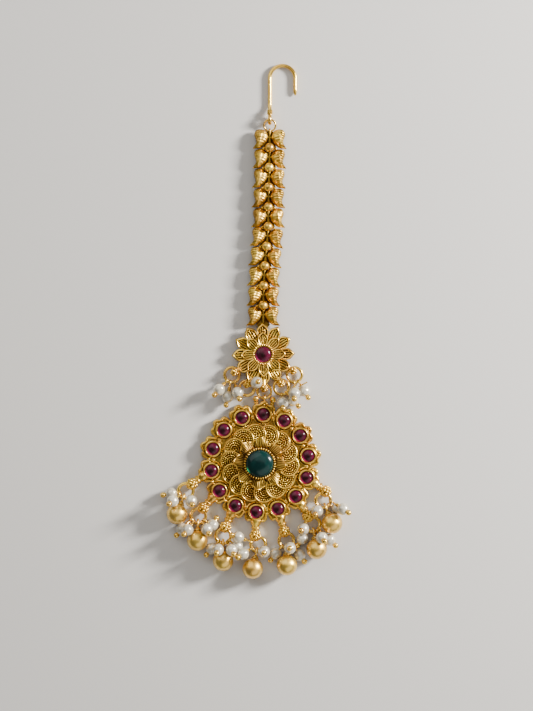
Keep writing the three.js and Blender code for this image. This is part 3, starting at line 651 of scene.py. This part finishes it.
def chain_link(number, origin, turn):
    """Two leaves on a spine, with an eye and a tail ring; link 10, at the flower, has no ball."""
    build = Build()
    for side in (-1, 1):
        outline = leaf_outline(side)
        middle = (side * 0.55 * LEAF_SPAN, 0.12)
        build.add(relief(outline, middle, leaf_height(side, number), LEAF_Z, rings=20),
                  recess=leaf_recess(side, number))
        tip = outline[0] if side > 0 else outline[-1]
        build.add(sphere(LEAF_TIP_R, 10, 7, (1, 1, 0.9)),
                  shift=(tip[0] - side * LEAF_TIP_R, tip[1] + 0.1, LEAF_Z + 0.24))
    spine = [(0, TAIL_END_Y + 2 * TAIL_R - 0.1, LEAF_Z), (0, -0.3, LEAF_Z + 0.1), (0, EYE_Y, LEAF_Z)]
    # Tarnish and painted shade darken the spine, the struts and most of all the backing between the leaves.
    build.add(sweep(spine, np.array([SPINE_R, SPINE_MIDDLE_R, SPINE_R]), 10), recess=0.55)
    build.add(relief(BACKING, (0, -0.5), lambda x, y, share: LEAF_Z + BACKING_T, LEAF_Z, rings=2), recess=0.7)
    for side in (-1, 1):
        build.add(rod((0, 0.2, LEAF_Z + 0.12), (side * 1.1, 0.3, LEAF_Z + 0.2), STRUT_R), recess=0.4)
    build.add(ring(CHAIN_EYE_R, CHAIN_EYE_WIRE, (0, EYE_Y, CHAIN_EYE_Z), ACROSS, 24, 8))
    build.add(ring(TAIL_R, TAIL_WIRE, (0, TAIL_END_Y + TAIL_R, CHAIN_EYE_Z), UP, 24, 8))
    if number < len(LINK_TURNS):
        link_ball(build)
    build.piece(f"link_{number:02d}", LEAF, [f"chain_link_{number:02d}"], -turn, origin, sharp=50)


BAIL = heading(90 - MEDALLION_TURN, STONE_RING_R + BAIL_OFFSET, BAIL_R + BAIL_WIRE)
CONNECTOR = BAIL + heading(CONNECTOR_HEADING, CONNECTOR_R)
FLOWER = (BAIL + heading(CONNECTOR_HEADING, 2 * CONNECTOR_R + STAPLE_REACH)) * (1, 1, 0)
FLOWER_TURN = CONNECTOR_HEADING - 90
STAPLE_Z = STAPLE_R + STAPLE_WIRE + 0.03

next_eye = FLOWER + (0, TOP_STAPLE_REACH, 0)
for number in range(len(LINK_TURNS), 0, -1):
    turn = LINK_TURNS[number - 1]
    along = heading(90 - turn)
    chain_link(number, next_eye - along * TAIL_END_Y, turn)
    next_eye = next_eye + along * LINK_PITCH


# Hook
HOOK_WRAPS, HOOK_WRAP_WIRE, HOOK_WRAP_STEP = 4, 0.13, 0.24
HOOK_POINT = np.array([0.99, 0.97, 0.93, 0.87, 0.79, 0.68, 0.52, 0.25])  # shares of the wire's radius


def hook():
    """Bent wire with an eye and a wrapped neck, on a ring in the first link's eye."""
    start = next_eye + np.array([0, 0, CHAIN_EYE_Z])
    tilt = math.radians(HOOK_RING_TILT)
    up = np.array([0, math.cos(tilt), math.sin(tilt)])
    axis = np.array([0, -math.sin(tilt), math.cos(tilt)])
    loop = Build()
    loop.add(ring(HOOK_RING_R, HOOK_RING_WIRE, start + HOOK_RING_R * up, axis, 48, 12))
    loop.piece("loop_at_hook", WIRE, ["hook_ring"])

    eye = start + 2 * HOOK_RING_R * up
    bend_y = eye[1] + HOOK_SHANK + 0.03
    middle = np.array([eye[0] + HOOK_BEND_R, bend_y, HOOK_WIRE + 0.1])
    path = [eye + (0, HOOK_EYE_R, 0), eye + (0, 1.4, -0.1), eye + (0, 2.4, -0.55)]
    path += [np.array([eye[0], y, middle[2]]) for y in np.linspace(eye[1] + 3.4, bend_y, 6)]
    path += [middle + heading(180 - a, HOOK_BEND_R) for a in np.linspace(10, 180, 18)]
    path += [middle + (HOOK_BEND_R, -y, 0) for y in np.linspace(0.6, HOOK_PRONG - 0.3, 5)]
    path = spline(path, 150)
    radii = np.full(len(path), HOOK_WIRE)
    radii[-len(HOOK_POINT):] = HOOK_WIRE * HOOK_POINT
    build = Build()
    build.add(sweep(path, radii, 16))
    build.add(ring(HOOK_EYE_R, HOOK_WIRE, eye, ACROSS, 48, 16))
    for k in range(HOOK_WRAPS):
        centre = eye + (0, 1.28 + HOOK_WRAP_STEP * k, -0.04 - 0.07 * k)
        build.add(ring(HOOK_WIRE + 0.08, HOOK_WRAP_WIRE, centre, (0, 1, -0.15), 24, 8))
    build.piece("hook_wire", WIRE, ["hook"])


hook()


# Flower
# A row of petals: count, reach of the tips, half width, the share of the length at which they are
# widest, and height
PETAL_ROWS = [(OUTER_PETALS, OUTER_TIP, OUTER_HALF_WIDTH, 0.68, PETAL_Z),
              (INNER_PETALS, INNER_TIP, INNER_HALF_WIDTH, 0.56, INNER_PETAL_Z)]
PETAL_HOLLOW, PETAL_RIM, PETAL_RIM_INSET, PETAL_RIB = 0.2, 0.21, 0.17, 0.14
HEART_BEADS, HEART_BEAD_R = 26, 0.26
FLORET_Z, FLORET_STALK_R = 1.95, 0.34


def petal(tip, half_width, widest, z):
    """Shapes of a petal along +X, each with its tarnish and painted shade: hollow, wire rim and three ribs.
    """
    top = z + PETAL_T
    middle = ((PETAL_BASE + tip) / 2, 0)
    outline = petal_outline(tip, half_width, widest)
    shapes = [(relief(outline, middle, lambda x, y, share: top - PETAL_HOLLOW, z, rings=4), 0.28)]
    rim = petal_outline(tip, half_width, widest, inset=PETAL_RIM_INSET)
    rim = np.column_stack([rim, top + 0.1 * ((rim[:, 0] - PETAL_BASE) / (tip - PETAL_BASE)) ** 2])
    shapes.append((sweep(rim, PETAL_RIM, 8, closed=True), 0.0))
    peak = PETAL_BASE + widest * (tip - PETAL_BASE)
    for row in (-1, 0, 1):
        run = np.linspace(PETAL_BASE + 0.5, tip - (0.85 if row == 0 else 1.2), 9)
        spread = np.interp(run, [PETAL_BASE, peak, tip], [0.3, 0.44, 0.12]) * half_width
        rib = np.column_stack([run, row * spread, np.full(len(run), top - 0.05)])
        shapes.append((sweep(rib, PETAL_RIB, 8), 0.0))
    return shapes


def flower():
    """Petals, heart and the loops behind them."""
    petals = Build()
    for count, tip, half_width, widest, z in PETAL_ROWS:
        shapes = petal(tip, half_width, widest, z)
        for k in range(count):
            for shape, depth in shapes:
                petals.add(shape, turned(90 + 360 / count * k), recess=depth)
    petals.piece("petals", ANTIQUE, ["flower"], FLOWER_TURN, FLOWER, sharp=45)

    heart = Build()
    outer, inner = FLOWER_RUBY_R + STONE_GAP + COLLET_WALL, FLOWER_RUBY_R + 0.1
    # Radius and height round the boss and its collet
    heart.add(revolve([(2.3, PETAL_Z + 0.1), (2.3, BOSS_TOP - 0.05), (outer + 0.1, BOSS_TOP + 0.05),
                       (outer, 2.7), (outer - 0.12, 2.85), (inner, 2.8), (inner, 2.31),
                       (0.5, 2.31), (0.5, PETAL_Z + 0.1)], 48, loop=True), recess=0.2)
    for k in range(HEART_BEADS):
        heart.add(sphere(HEART_BEAD_R, 10, 7), shift=heading(360 / HEART_BEADS * k, outer - 0.04, 2.78))
    for degrees in FLORET_HEADINGS:
        centre = heading(degrees, FLORET_REACH, FLORET_Z)
        heart.add(rod(heading(degrees, 5.6, 1.55), centre, FLORET_STALK_R))
        cluster(heart, centre, FLORET_R, granule_r=0.37, count=12, core=0.5)
    heart.add(sphere(0.3, 10, 6), shift=(0, 0, PETAL_Z + 0.3))
    heart.piece("flower_heart", ANTIQUE, ["flower"], FLOWER_TURN, FLOWER, sharp=50)

    staples = Build()
    for degrees in [row["heading"] for row in FLOWER_RINGS] + [CONNECTOR_HEADING + 180]:
        along = heading(degrees)
        centre = along * STAPLE_REACH + (0, 0, STAPLE_Z)
        staples.add(ring(STAPLE_R, STAPLE_WIRE, centre, eye_axis(along), 28, 8))
        staples.add(rod(centre - along * STAPLE_R, along * (STAPLE_REACH - 2.2) + (0, 0, 1.3), 0.26))
    top = np.array([0, TOP_STAPLE_REACH, CHAIN_EYE_Z])
    staples.add(ring(CHAIN_EYE_R, CHAIN_EYE_WIRE, top, ACROSS, 24, 8))
    staples.add(rod(top - (0, CHAIN_EYE_R, 0), (0, TOP_STAPLE_REACH - 1.8, 1.3), 0.24))
    staples.piece("flower_loops", WIRE, ["flower"], 0, FLOWER)


flower()

connector = Build()
connector.add(ring(CONNECTOR_R, FLOWER_RING_WIRE, CONNECTOR, UP, 56, 12))
connector.piece("connector", WIRE, ["connector_ring"])


# Stones
# A painted glint: its heading, its width in degrees, and the shares of the radius where it starts and is full
RUBY_GLINT, FLOWER_GLINT, EMERALD_GLINT = (222, 42, 0.62, 0.97), (225, 42, 0.68, 0.97), (209, 10, 0.86, 0.97)
GIRDLE, DOME_STEPS = 0.3, 18


def ruby_spot(number, z):
    """Point at height z over a ruby's middle; the rubies are numbered clockwise from the bail."""
    return heading(90 - STONE_STEP * (number - 1) - MEDALLION_TURN, STONE_RING_R, z)


def cabochon(name, slot, material, node_name, centre, radius, height, glint, sides=64):
    """Domed stone, with attributes for how far each point lies in the painted glint and in the painted shade
    of the middle.
    """
    profile = [(0, 0), (radius * 0.9, 0), (radius, 0.18 * height), (radius, GIRDLE * height)]
    for k in range(1, DOME_STEPS):
        a = math.pi / 2 * k / DOME_STEPS
        profile.append((radius * math.cos(a) ** 0.9, height * (GIRDLE + (1 - GIRDLE) * math.sin(a))))
    profile.append((0, height))
    build = Build()
    build.add(revolve(profile, sides))
    made = build.piece(name, material, [node_name], 0, centre, sharp=70, slot=slot)
    way, width, start, full = glint
    painted_glint, core = [], []
    for v in made.data.vertices:
        x, y = (v.co.x - centre[0] * MM) / MM / radius, (v.co.y - centre[1] * MM) / MM / radius
        off = (math.degrees(math.atan2(y, x)) - way + 180) % 360 - 180
        edge = min(1, max(0, (math.hypot(x, y) - start) / (full - start)))
        painted_glint.append(edge * edge * math.exp(-(off / width) ** 2))
        # Painted shade in the middle, centred a little below and left of the stone's centre.
        core.append(math.exp(-((x + 0.08) ** 2 + (y + 0.12) ** 2) / 0.16))
    for label, values in (("painted_glint", painted_glint), ("core", core)):
        made.data.attributes.new(label, "FLOAT", "POINT").data.foreach_set("value", values)


for number in range(1, STONE_COUNT + 1):
    cabochon(f"ruby_cabochon_{number:02d}", "ruby", RUBY, f"ruby_{number:02d}",
             ruby_spot(number, SEAT_Z + STONE_GAP), RUBY_R, RUBY_H, RUBY_GLINT, 40)
cabochon("ruby_cabochon_flower", "ruby", RUBY, "flower_ruby",
         FLOWER + (0, 0, BOSS_TOP + 0.1 + STONE_GAP), FLOWER_RUBY_R, FLOWER_RUBY_H, FLOWER_GLINT)
cabochon("emerald_cabochon", "emerald", EMERALD, "emerald",
         (0, 0, DOME_TOP + STONE_GAP), EMERALD_R, EMERALD_H, EMERALD_GLINT)


# Medallion
EDGE_ROWS, EDGE_STEP, EDGE_DEPTH = 13, 0.08, 0.05
PLATE_RIM, PLATE_RIM_INSET = 0.25, 0.26
GRAIN_ROWS, GRAIN_R, GRAINS_FROM = (1.8, 1.32, 0.84, 0.34), 0.17, 3.9  # none under the corolla
COROLLA_PETALS, COROLLA_STEPS, COROLLA_ROWS = 8, 48, 13
COROLLA_IN, COROLLA_Z, COROLLA_T, COROLLA_RIM = 3.1, 3.1, 0.3, 0.16
# Reach, sideways shift and radius of the discs that make a petal's edge
COROLLA_LOBES = ((4.8, 0, 0.8), (4.3, 0.95, 0.66), (4.3, -0.95, 0.66))
CENTRE_BEADS, BAIL_BALL_R = 38, 0.65
# Radius of a drop's stem and distance from the ruby's middle
STEM_PROFILE = [(0, 1.6), (1.05, 1.6), (1.15, 2.2), (1.02, 2.6), (0.86, 2.9), (0.78, 3.2), (0.76, 3.6),
                (0.7, 4.2), (0, 4.4)]
STEM_RISE, STEM_COLLAR_R, STEM_COLLAR_REACH = 0.25, 0.82, 3.45


def plate_body(angles):
    """Lobed plate with a ridged edge, and the tarnish and painted shade of its points."""
    edge, count = lobed_outline(0, angles), len(angles)
    # Inset, height and tarnish with painted shade of each row, up the edge and then inwards
    levels = [(0.12, 0.0, 0.15), (0.02, 0.1, 0.15)]
    for k in range(EDGE_ROWS):
        levels.append((0.0 if k % 2 else EDGE_DEPTH, 0.15 + k * EDGE_STEP, 0.5 if k % 2 else 0.15))
    levels += [(0.12, PLATE_T + 0.02, 0.15), (0.42, PLATE_T, 0.2), (0.75, PLATE_T + 0.02, 0.25),
               (1.3, PLATE_T + 0.02, 0.3)]
    rows = [(edge - inset, z, depth) for inset, z, depth in levels]
    rows += [(np.minimum(edge - 1.5, reach), z, 0.55) for reach, z in ((9.6, PLATE_T), (8.2, PLATE_T + 0.1))]
    middles = [(0, 0, 0), (0, 0, PLATE_T)]
    points = np.vstack([polar_path(reach, angles, z) for reach, z, _ in rows] + [middles])
    faces = lattice(len(rows), count, wrap_columns=True)
    low, top, last = len(points) - 2, len(points) - 1, (len(rows) - 1) * count
    faces += [(low, (i + 1) % count, i) for i in range(count)]
    faces += [(top, last + i, last + (i + 1) % count) for i in range(count)]
    return (points, faces), np.concatenate([np.repeat([depth for _, _, depth in rows], count), [0.2, 0.4]])


def plate():
    """Plate with its rim, and a collet, an arc of wire and grains at each ruby."""
    build = Build()
    angles = circle(STONE_COUNT * 60)
    body, depth = plate_body(angles)
    build.add(body, recess=depth)
    rim = lobed_outline(PLATE_RIM_INSET, angles)
    for _ in range(6):
        rim = (np.roll(rim, 1) + rim + np.roll(rim, -1)) / 3
    build.add(sweep(polar_path(rim, angles, PLATE_T - 0.02)[::2], PLATE_RIM, 9, closed=True))
    wall_in, wall_out = RUBY_R + 0.05, RUBY_R + STONE_GAP + COLLET_WALL + 0.02
    # Radius and height, up the collet's outside and down its inside
    collet = revolve([(wall_out + 0.1, PLATE_T - 0.05), (wall_out + 0.06, 1.62), (wall_out, 1.9),
                      (wall_out - 0.03, 2.04), (wall_out - 0.12, 2.15), (wall_in + 0.12, 2.15),
                      (wall_in + 0.03, 2.06), (wall_in, 1.9), (wall_in, 1.5), (wall_in - 0.3, 1.44),
                      (wall_in - 0.3, PLATE_T - 0.05)], 40, loop=True)
    for k in range(STONE_COUNT):
        degrees = 90 - STONE_STEP * k
        between = degrees - STONE_STEP / 2
        seat = heading(degrees, STONE_RING_R)
        build.add(collet, shift=seat)
        build.add(ring((wall_in + wall_out) / 2 + 0.03, 0.2, seat + (0, 0, 2.05), UP, 44, 10))
        build.add(ring(wall_out + 0.1, 0.12, seat + (0, 0, PLATE_T + 0.06), UP, 40, 6), recess=0.5)
        arc = [heading(degrees + off, LOBE_R - 0.16, PLATE_T + 0.02) for off in np.linspace(100, 260, 22)]
        build.add(sweep([seat + spot for spot in arc], 0.17, 7))
        build.add(granule(0.22), shift=seat + heading(degrees, BUMP_REACH + 0.05, PLATE_T - 0.02))
        build.add(sphere(0.5, 10, 6, (1, 1, 0.5)), shift=heading(between, PLATE_R - 1.2, PLATE_T))
        for off in (-2.6, 2.6):
            build.add(granule(0.2), shift=heading(between + off, PLATE_R - 0.35, PLATE_T + 0.02))
        for off in (-3.6, 0, 3.6):
            build.add(granule(0.22), shift=heading(degrees + off, 8.48, PLATE_T + 0.22))
    build.piece("plate", ANTIQUE, ["medallion"], -MEDALLION_TURN, sharp=50)


def filigree():
    """Fourteen granulated discs on a dome, each lying over the next one clockwise."""
    build = Build()
    # Tarnish and painted shade darken the dome under the discs and each disc's sheet between its grains.
    dome = [(0, PLATE_T), (8.3, PLATE_T), (8.25, 1.5), (7.4, 1.72), (5.2, 2.05), (3.2, 2.5), (0, 2.6)]
    build.add(revolve(dome, 84), recess=0.6)
    sheet = [(0, -0.12), (DISC_R - 0.1, -0.12), (DISC_R - 0.06, 0.0), (DISC_R - 0.25, 0.03), (0, 0.03)]
    for k in range(STONE_COUNT):
        degrees = 90 - STONE_STEP * (k + 0.5)
        out, clockwise = heading(degrees), heading(degrees - 90)
        centre = out * DISC_REACH + (0, 0, DISC_Z)
        plane = np.array([unit(out - (0, 0, DISC_SLOPE_OUT)), unit(clockwise + (0, 0, DISC_SLOPE_ROUND)), UP])
        plane[2] = -unit(np.cross(plane[0], plane[1]))
        plane[1] = np.cross(plane[2], plane[0])
        disc = Build()
        disc.add(revolve(sheet, 40), recess=0.8)
        disc.add(ring(DISC_R - 0.17, 0.18, (0, 0, 0.1), UP, 44, 8))
        for row, radius in enumerate(GRAIN_ROWS):
            count = int(2 * math.pi * radius / (GRAIN_R * 2.5))
            for j in range(count):
                a = 2 * math.pi * (j + 0.5 * (row % 2)) / count
                spot = np.array([radius * math.cos(a), radius * math.sin(a), 0.07])
                lying = spot @ plane + centre
                if math.hypot(lying[0], lying[1]) > GRAINS_FROM:
                    disc.add(granule(GRAIN_R), shift=spot)
        build.add((np.vstack(disc.points), disc.faces), plane, centre, np.concatenate(disc.recess))
    build.piece("filigree", ANTIQUE, ["medallion"], -MEDALLION_TURN, sharp=50)


def corolla():
    """Ruffled and grooved petals round the beaded collet of the emerald."""
    build = Build()
    count, sector = COROLLA_PETALS * COROLLA_STEPS, 360 / COROLLA_PETALS
    angles = circle(count)
    local = (np.arange(count) % COROLLA_STEPS) / COROLLA_STEPS * 360 / COROLLA_PETALS - 180 / COROLLA_PETALS
    discs = [(0, 0, 4.0)]
    for k in range(COROLLA_PETALS):
        discs += spun(COROLLA_LOBES, sector * (k + 0.5))
    edge = discs_outline(discs, angles)
    wave = np.cos(np.radians(local * COROLLA_PETALS))
    lobes = np.cos(np.radians(local * COROLLA_PETALS * 3))
    top, low, depth = [], [], []
    for j in range(COROLLA_ROWS):
        share = j / (COROLLA_ROWS - 1)
        reach = COROLLA_IN + (edge - COROLLA_IN) * share
        groove = np.cos(angles * COROLLA_PETALS * 9) * math.sin(math.pi * min(1, share * 1.02)) ** 0.5
        # Tarnish and painted shade: darker in the grooves, in the hollows of the ruffle and towards the
        # collet.
        depth.append(0.16 + 0.26 * (1 - groove) + 0.3 * (1 - wave) / 2 + 0.3 * (1 - share) ** 2)
        z = COROLLA_Z + 0.35 * share * (1 - share) + 0.36 * wave * share**1.2 + 0.14 * lobes * share**2
        z = z + 0.07 * groove - 0.12 * share**5
        top.append(polar_path(reach, angles, z))
        low.append(polar_path(reach, angles, z - COROLLA_T))
    top, low = np.array(top).transpose(1, 0, 2), np.array(low).transpose(1, 0, 2)
    depth = np.concatenate([np.array(depth).T.ravel(), np.full(top[..., 0].size, 0.5)])
    build.add(shell(top, low), recess=depth)
    build.add(sweep(top[:, -1] - (0, 0, 0.1), COROLLA_RIM, 7, closed=True))
    wall_in, wall_out = EMERALD_R + 0.06, EMERALD_R + STONE_GAP + COLLET_WALL - 0.02
    build.add(revolve([(wall_out + 0.1, 2.6), (wall_out + 0.1, 3.2), (wall_out, 3.4), (wall_out, 3.66),
                       (wall_in, 3.66), (wall_in, 3.04), (1.5, 2.98), (1.5, 2.6)], 72, loop=True), recess=0.6)
    for k in range(CENTRE_BEADS):
        degrees = 360 / CENTRE_BEADS * k
        build.add(sphere(1, 10, 7, (0.33, 0.17, 0.28)), turned(degrees),
                  heading(degrees, (wall_in + wall_out) / 2 + 0.02, 3.7))
    build.piece("corolla", ANTIQUE, ["medallion"], sector / 2 - MEDALLION_TURN, sharp=60)


def stems():
    """Stems with granulated beads, the bail, and a ball on each side of it."""
    build = Build()
    for drop in DROPS:
        seat = ruby_spot(drop["stone"], BEAD_R - STEM_RISE)
        along = heading(drop["stem"])
        build.add(revolve(STEM_PROFILE, 24), basis(along), seat)
        build.add(ring(STEM_COLLAR_R, 0.2, seat + along * STEM_COLLAR_REACH, along, 28, 8))
        bead = seat + along * STEM_LENGTH + (0, 0, STEM_RISE)
        cluster(build, bead, BEAD_R + 0.06, granule_r=0.4, count=30, core=1.02)
    build.add(ring(BAIL_R, BAIL_WIRE, BAIL, eye_axis(heading(90 - MEDALLION_TURN)), 28, 8))
    for side in (-1, 1):
        ball = np.array([side * 1.85, STONE_RING_R + 3.24, 1.0]) @ turned(-MEDALLION_TURN)
        root = np.array([side * 1.55, STONE_RING_R + 1.1, 0.8]) @ turned(-MEDALLION_TURN)
        build.add(sphere(BAIL_BALL_R, 18, 12), shift=ball)
        build.add(rod(root, ball, 0.36))
        build.add(ring(0.42, 0.12, root + (ball - root) * 0.62, ball - root, 20, 6))
    build.piece("stems", ANTIQUE, ["medallion"], sharp=50)


plate()
filigree()
corolla()
stems()


# Rings, pins, pearls and balls
PIN_WRAP_WIRE, PIN_WRAP_STEP, PIN_WRAPS = 0.12, 0.24, 4
PEARL_UNEVEN = 0.008
BALL_HANG = 3.7  # from a gold ball's eye to its middle


def pearl_painted_shade(points):
    """Painted shade that grows from a pearl's shoulder down to its underside."""
    return np.clip(0.4 - 0.9 * points[:, 2] / PEARL_R, 0, 0.42)


def pearl_ring(label, node_name, centre, ring_r, wire, pearls, stray=None):
    """Ring and headed pins as one piece, and the pearls as a second."""
    metal, beads = Build(), Build()
    metal.add(ring(ring_r, wire * 1.18, centre, UP, 56, 12))
    for k, (way, reach, lift, *others) in enumerate(pearls):
        eye_way = others[0] if others else way
        eye = centre + heading(eye_way, ring_r + PIN_EYE_R - PIN_R - wire + PIN_BITE)
        bead = centre * (1, 1, 0) + heading(way, ring_r + reach * PEARL_R, lift * PEARL_R)
        along = unit(bead - eye)
        metal.add(ring(PIN_EYE_R, PIN_R, eye, eye_axis(along), 24, 8))
        entry = bead - along * (PEARL_R * 0.92)
        gap = np.linalg.norm(entry - eye) - PIN_EYE_R
        if gap > 0.25:
            metal.add(rod(eye + along * PIN_EYE_R * 0.9, entry + along * 0.3, PIN_R * 0.9))
            for wrap in range(max(1, min(PIN_WRAPS, int(gap / 0.26)))):
                spot = entry - along * (0.1 + PIN_WRAP_STEP * wrap)
                metal.add(ring(PIN_R + 0.1, PIN_WRAP_WIRE, spot, along, 16, 6))
        tip_along = heading(others[1]) if len(others) > 1 else along
        tip = bead + tip_along * PIN_TIP_REACH
        metal.add(rod(bead, tip, PIN_R))
        metal.add(sphere(PIN_TIP_R, 20, 12), shift=tip)
        metal.add(ring(0.36, 0.13, bead + tip_along * (PEARL_R * 0.97), tip_along, 20, 6))
        beads.add(lumpy(PEARL_R, PEARL_UNEVEN, int(label, 36) * 10 + k), shift=bead, recess=pearl_painted_shade)
    if stray is not None:
        metal.add(sweep(spline(stray, 14), PIN_R * 0.8, 8))
    metal.piece(f"pins_{label}", WIRE, [node_name])
    beads.piece(f"pearls_{label}", PEARL, [node_name], slot="pearl")


def gold_ball(label, way, centre):
    """Ball on the floor, hung on the ring by its eye and a collared neck."""
    along = heading(way)
    loop = centre + along * (DROP_RING_R + 0.05)
    lift = BALL_R - centre[2]
    ball = loop + along * math.sqrt(BALL_HANG**2 - lift**2) + (0, 0, lift)
    axis = unit(ball - loop)
    build = Build()
    build.add(sphere(BALL_R, 64, 40), shift=ball)
    build.add(ring(BALL_EYE_R, BALL_EYE_WIRE, loop, eye_axis(axis), 36, 10))
    build.add(rod(loop + axis * BALL_EYE_R, ball - axis * (BALL_R - 0.2), BALL_NECK, BALL_NECK + 0.1, 16))
    build.add(ring(BALL_NECK + 0.08, 0.13, ball - axis * (BALL_R + 0.3), axis, 24, 8))
    build.add(ring(BALL_NECK + 0.28, 0.16, ball - axis * BALL_R, axis, 32, 8))
    build.piece(f"globe_{label}", SATIN, [f"ball_{label}"], sharp=60, slot="bright_gold")


for drop in DROPS:
    bead = ruby_spot(drop["stone"], BEAD_R) + heading(drop["stem"], STEM_LENGTH)
    middle = bead + heading(drop["ring"], BORE_OFFSET + DROP_RING_R)
    label = f"{drop['stone']:02d}"
    pearl_ring(label, f"pearl_ring_{label}", middle, DROP_RING_R, DROP_RING_WIRE, drop["pearls"])
    gold_ball(label, drop["ball"], middle)

for number, row in enumerate(FLOWER_RINGS, 1):
    middle = FLOWER + heading(row["heading"], STAPLE_REACH + FLOWER_RING_R, STAPLE_Z)
    pearl_ring(f"f{number}", f"flower_ring_{number}", middle, FLOWER_RING_R, FLOWER_RING_WIRE,
               row["pearls"], row.get("stray"))


# Floor and light
FLOOR_HALF, FLOOR_Z, FLOOR_COLOR = 2500, -0.03, (0.62, 0.6, 0.57)
LIGHT_TARGET = np.array([1.5, 22, 1])
WORLD_COLOR, WORLD_STRENGTH = (1.0, 0.98, 0.95), 0.16


def floor():
    mesh = bpy.data.meshes.new("floor")
    corners = np.array([(-1, -1, 0), (1, -1, 0), (1, 1, 0), (-1, 1, 0)]) * FLOOR_HALF + (0, 0, FLOOR_Z)
    mesh.from_pydata((corners * MM).tolist(), [], [(0, 1, 2, 3)])
    material, _, shader = start_material("floor")
    set_inputs(shader, {"Base Color": (*FLOOR_COLOR, 1), "Roughness": 0.85})
    mesh.materials.append(material)
    obj = in_scene("floor", mesh)


def area_light(name, way, distance, size, power, color):
    """Lamp that stands off the object in the direction way and faces it."""
    data = bpy.data.lights.new(name, "AREA")
    data.shape = "RECTANGLE"
    data.size, data.size_y = size[0] * MM, size[1] * MM
    data.energy = power
    data.color = color
    lamp = in_scene(name, data)
    lamp.location = (LIGHT_TARGET + unit(way) * distance) * MM
    lamp.rotation_euler = Vector(tuple(unit(way))).to_track_quat("Z", "Y").to_euler()


floor()
area_light("key", (0.88, 0.34, 0.42), 420, (85, 85), power=6.0, color=(1, 0.98, 0.95))
area_light("top_left", (-0.5, 0.75, 0.75), 460, (560, 380), power=1.0, color=(1, 0.99, 0.97))
area_light("bottom_right", (0.45, -0.75, 0.75), 460, (560, 380), power=0.7, color=(1, 0.98, 0.96))
area_light("overhead", (0.08, 0.32, 1), 450, (400, 260), power=0.26, color=(1, 0.98, 0.95))

world = bpy.data.worlds.new("studio")
bpy.context.scene.world = world
world.use_nodes = True
set_inputs(world.node_tree.nodes["Background"], {"Color": (*WORLD_COLOR, 1), "Strength": WORLD_STRENGTH})
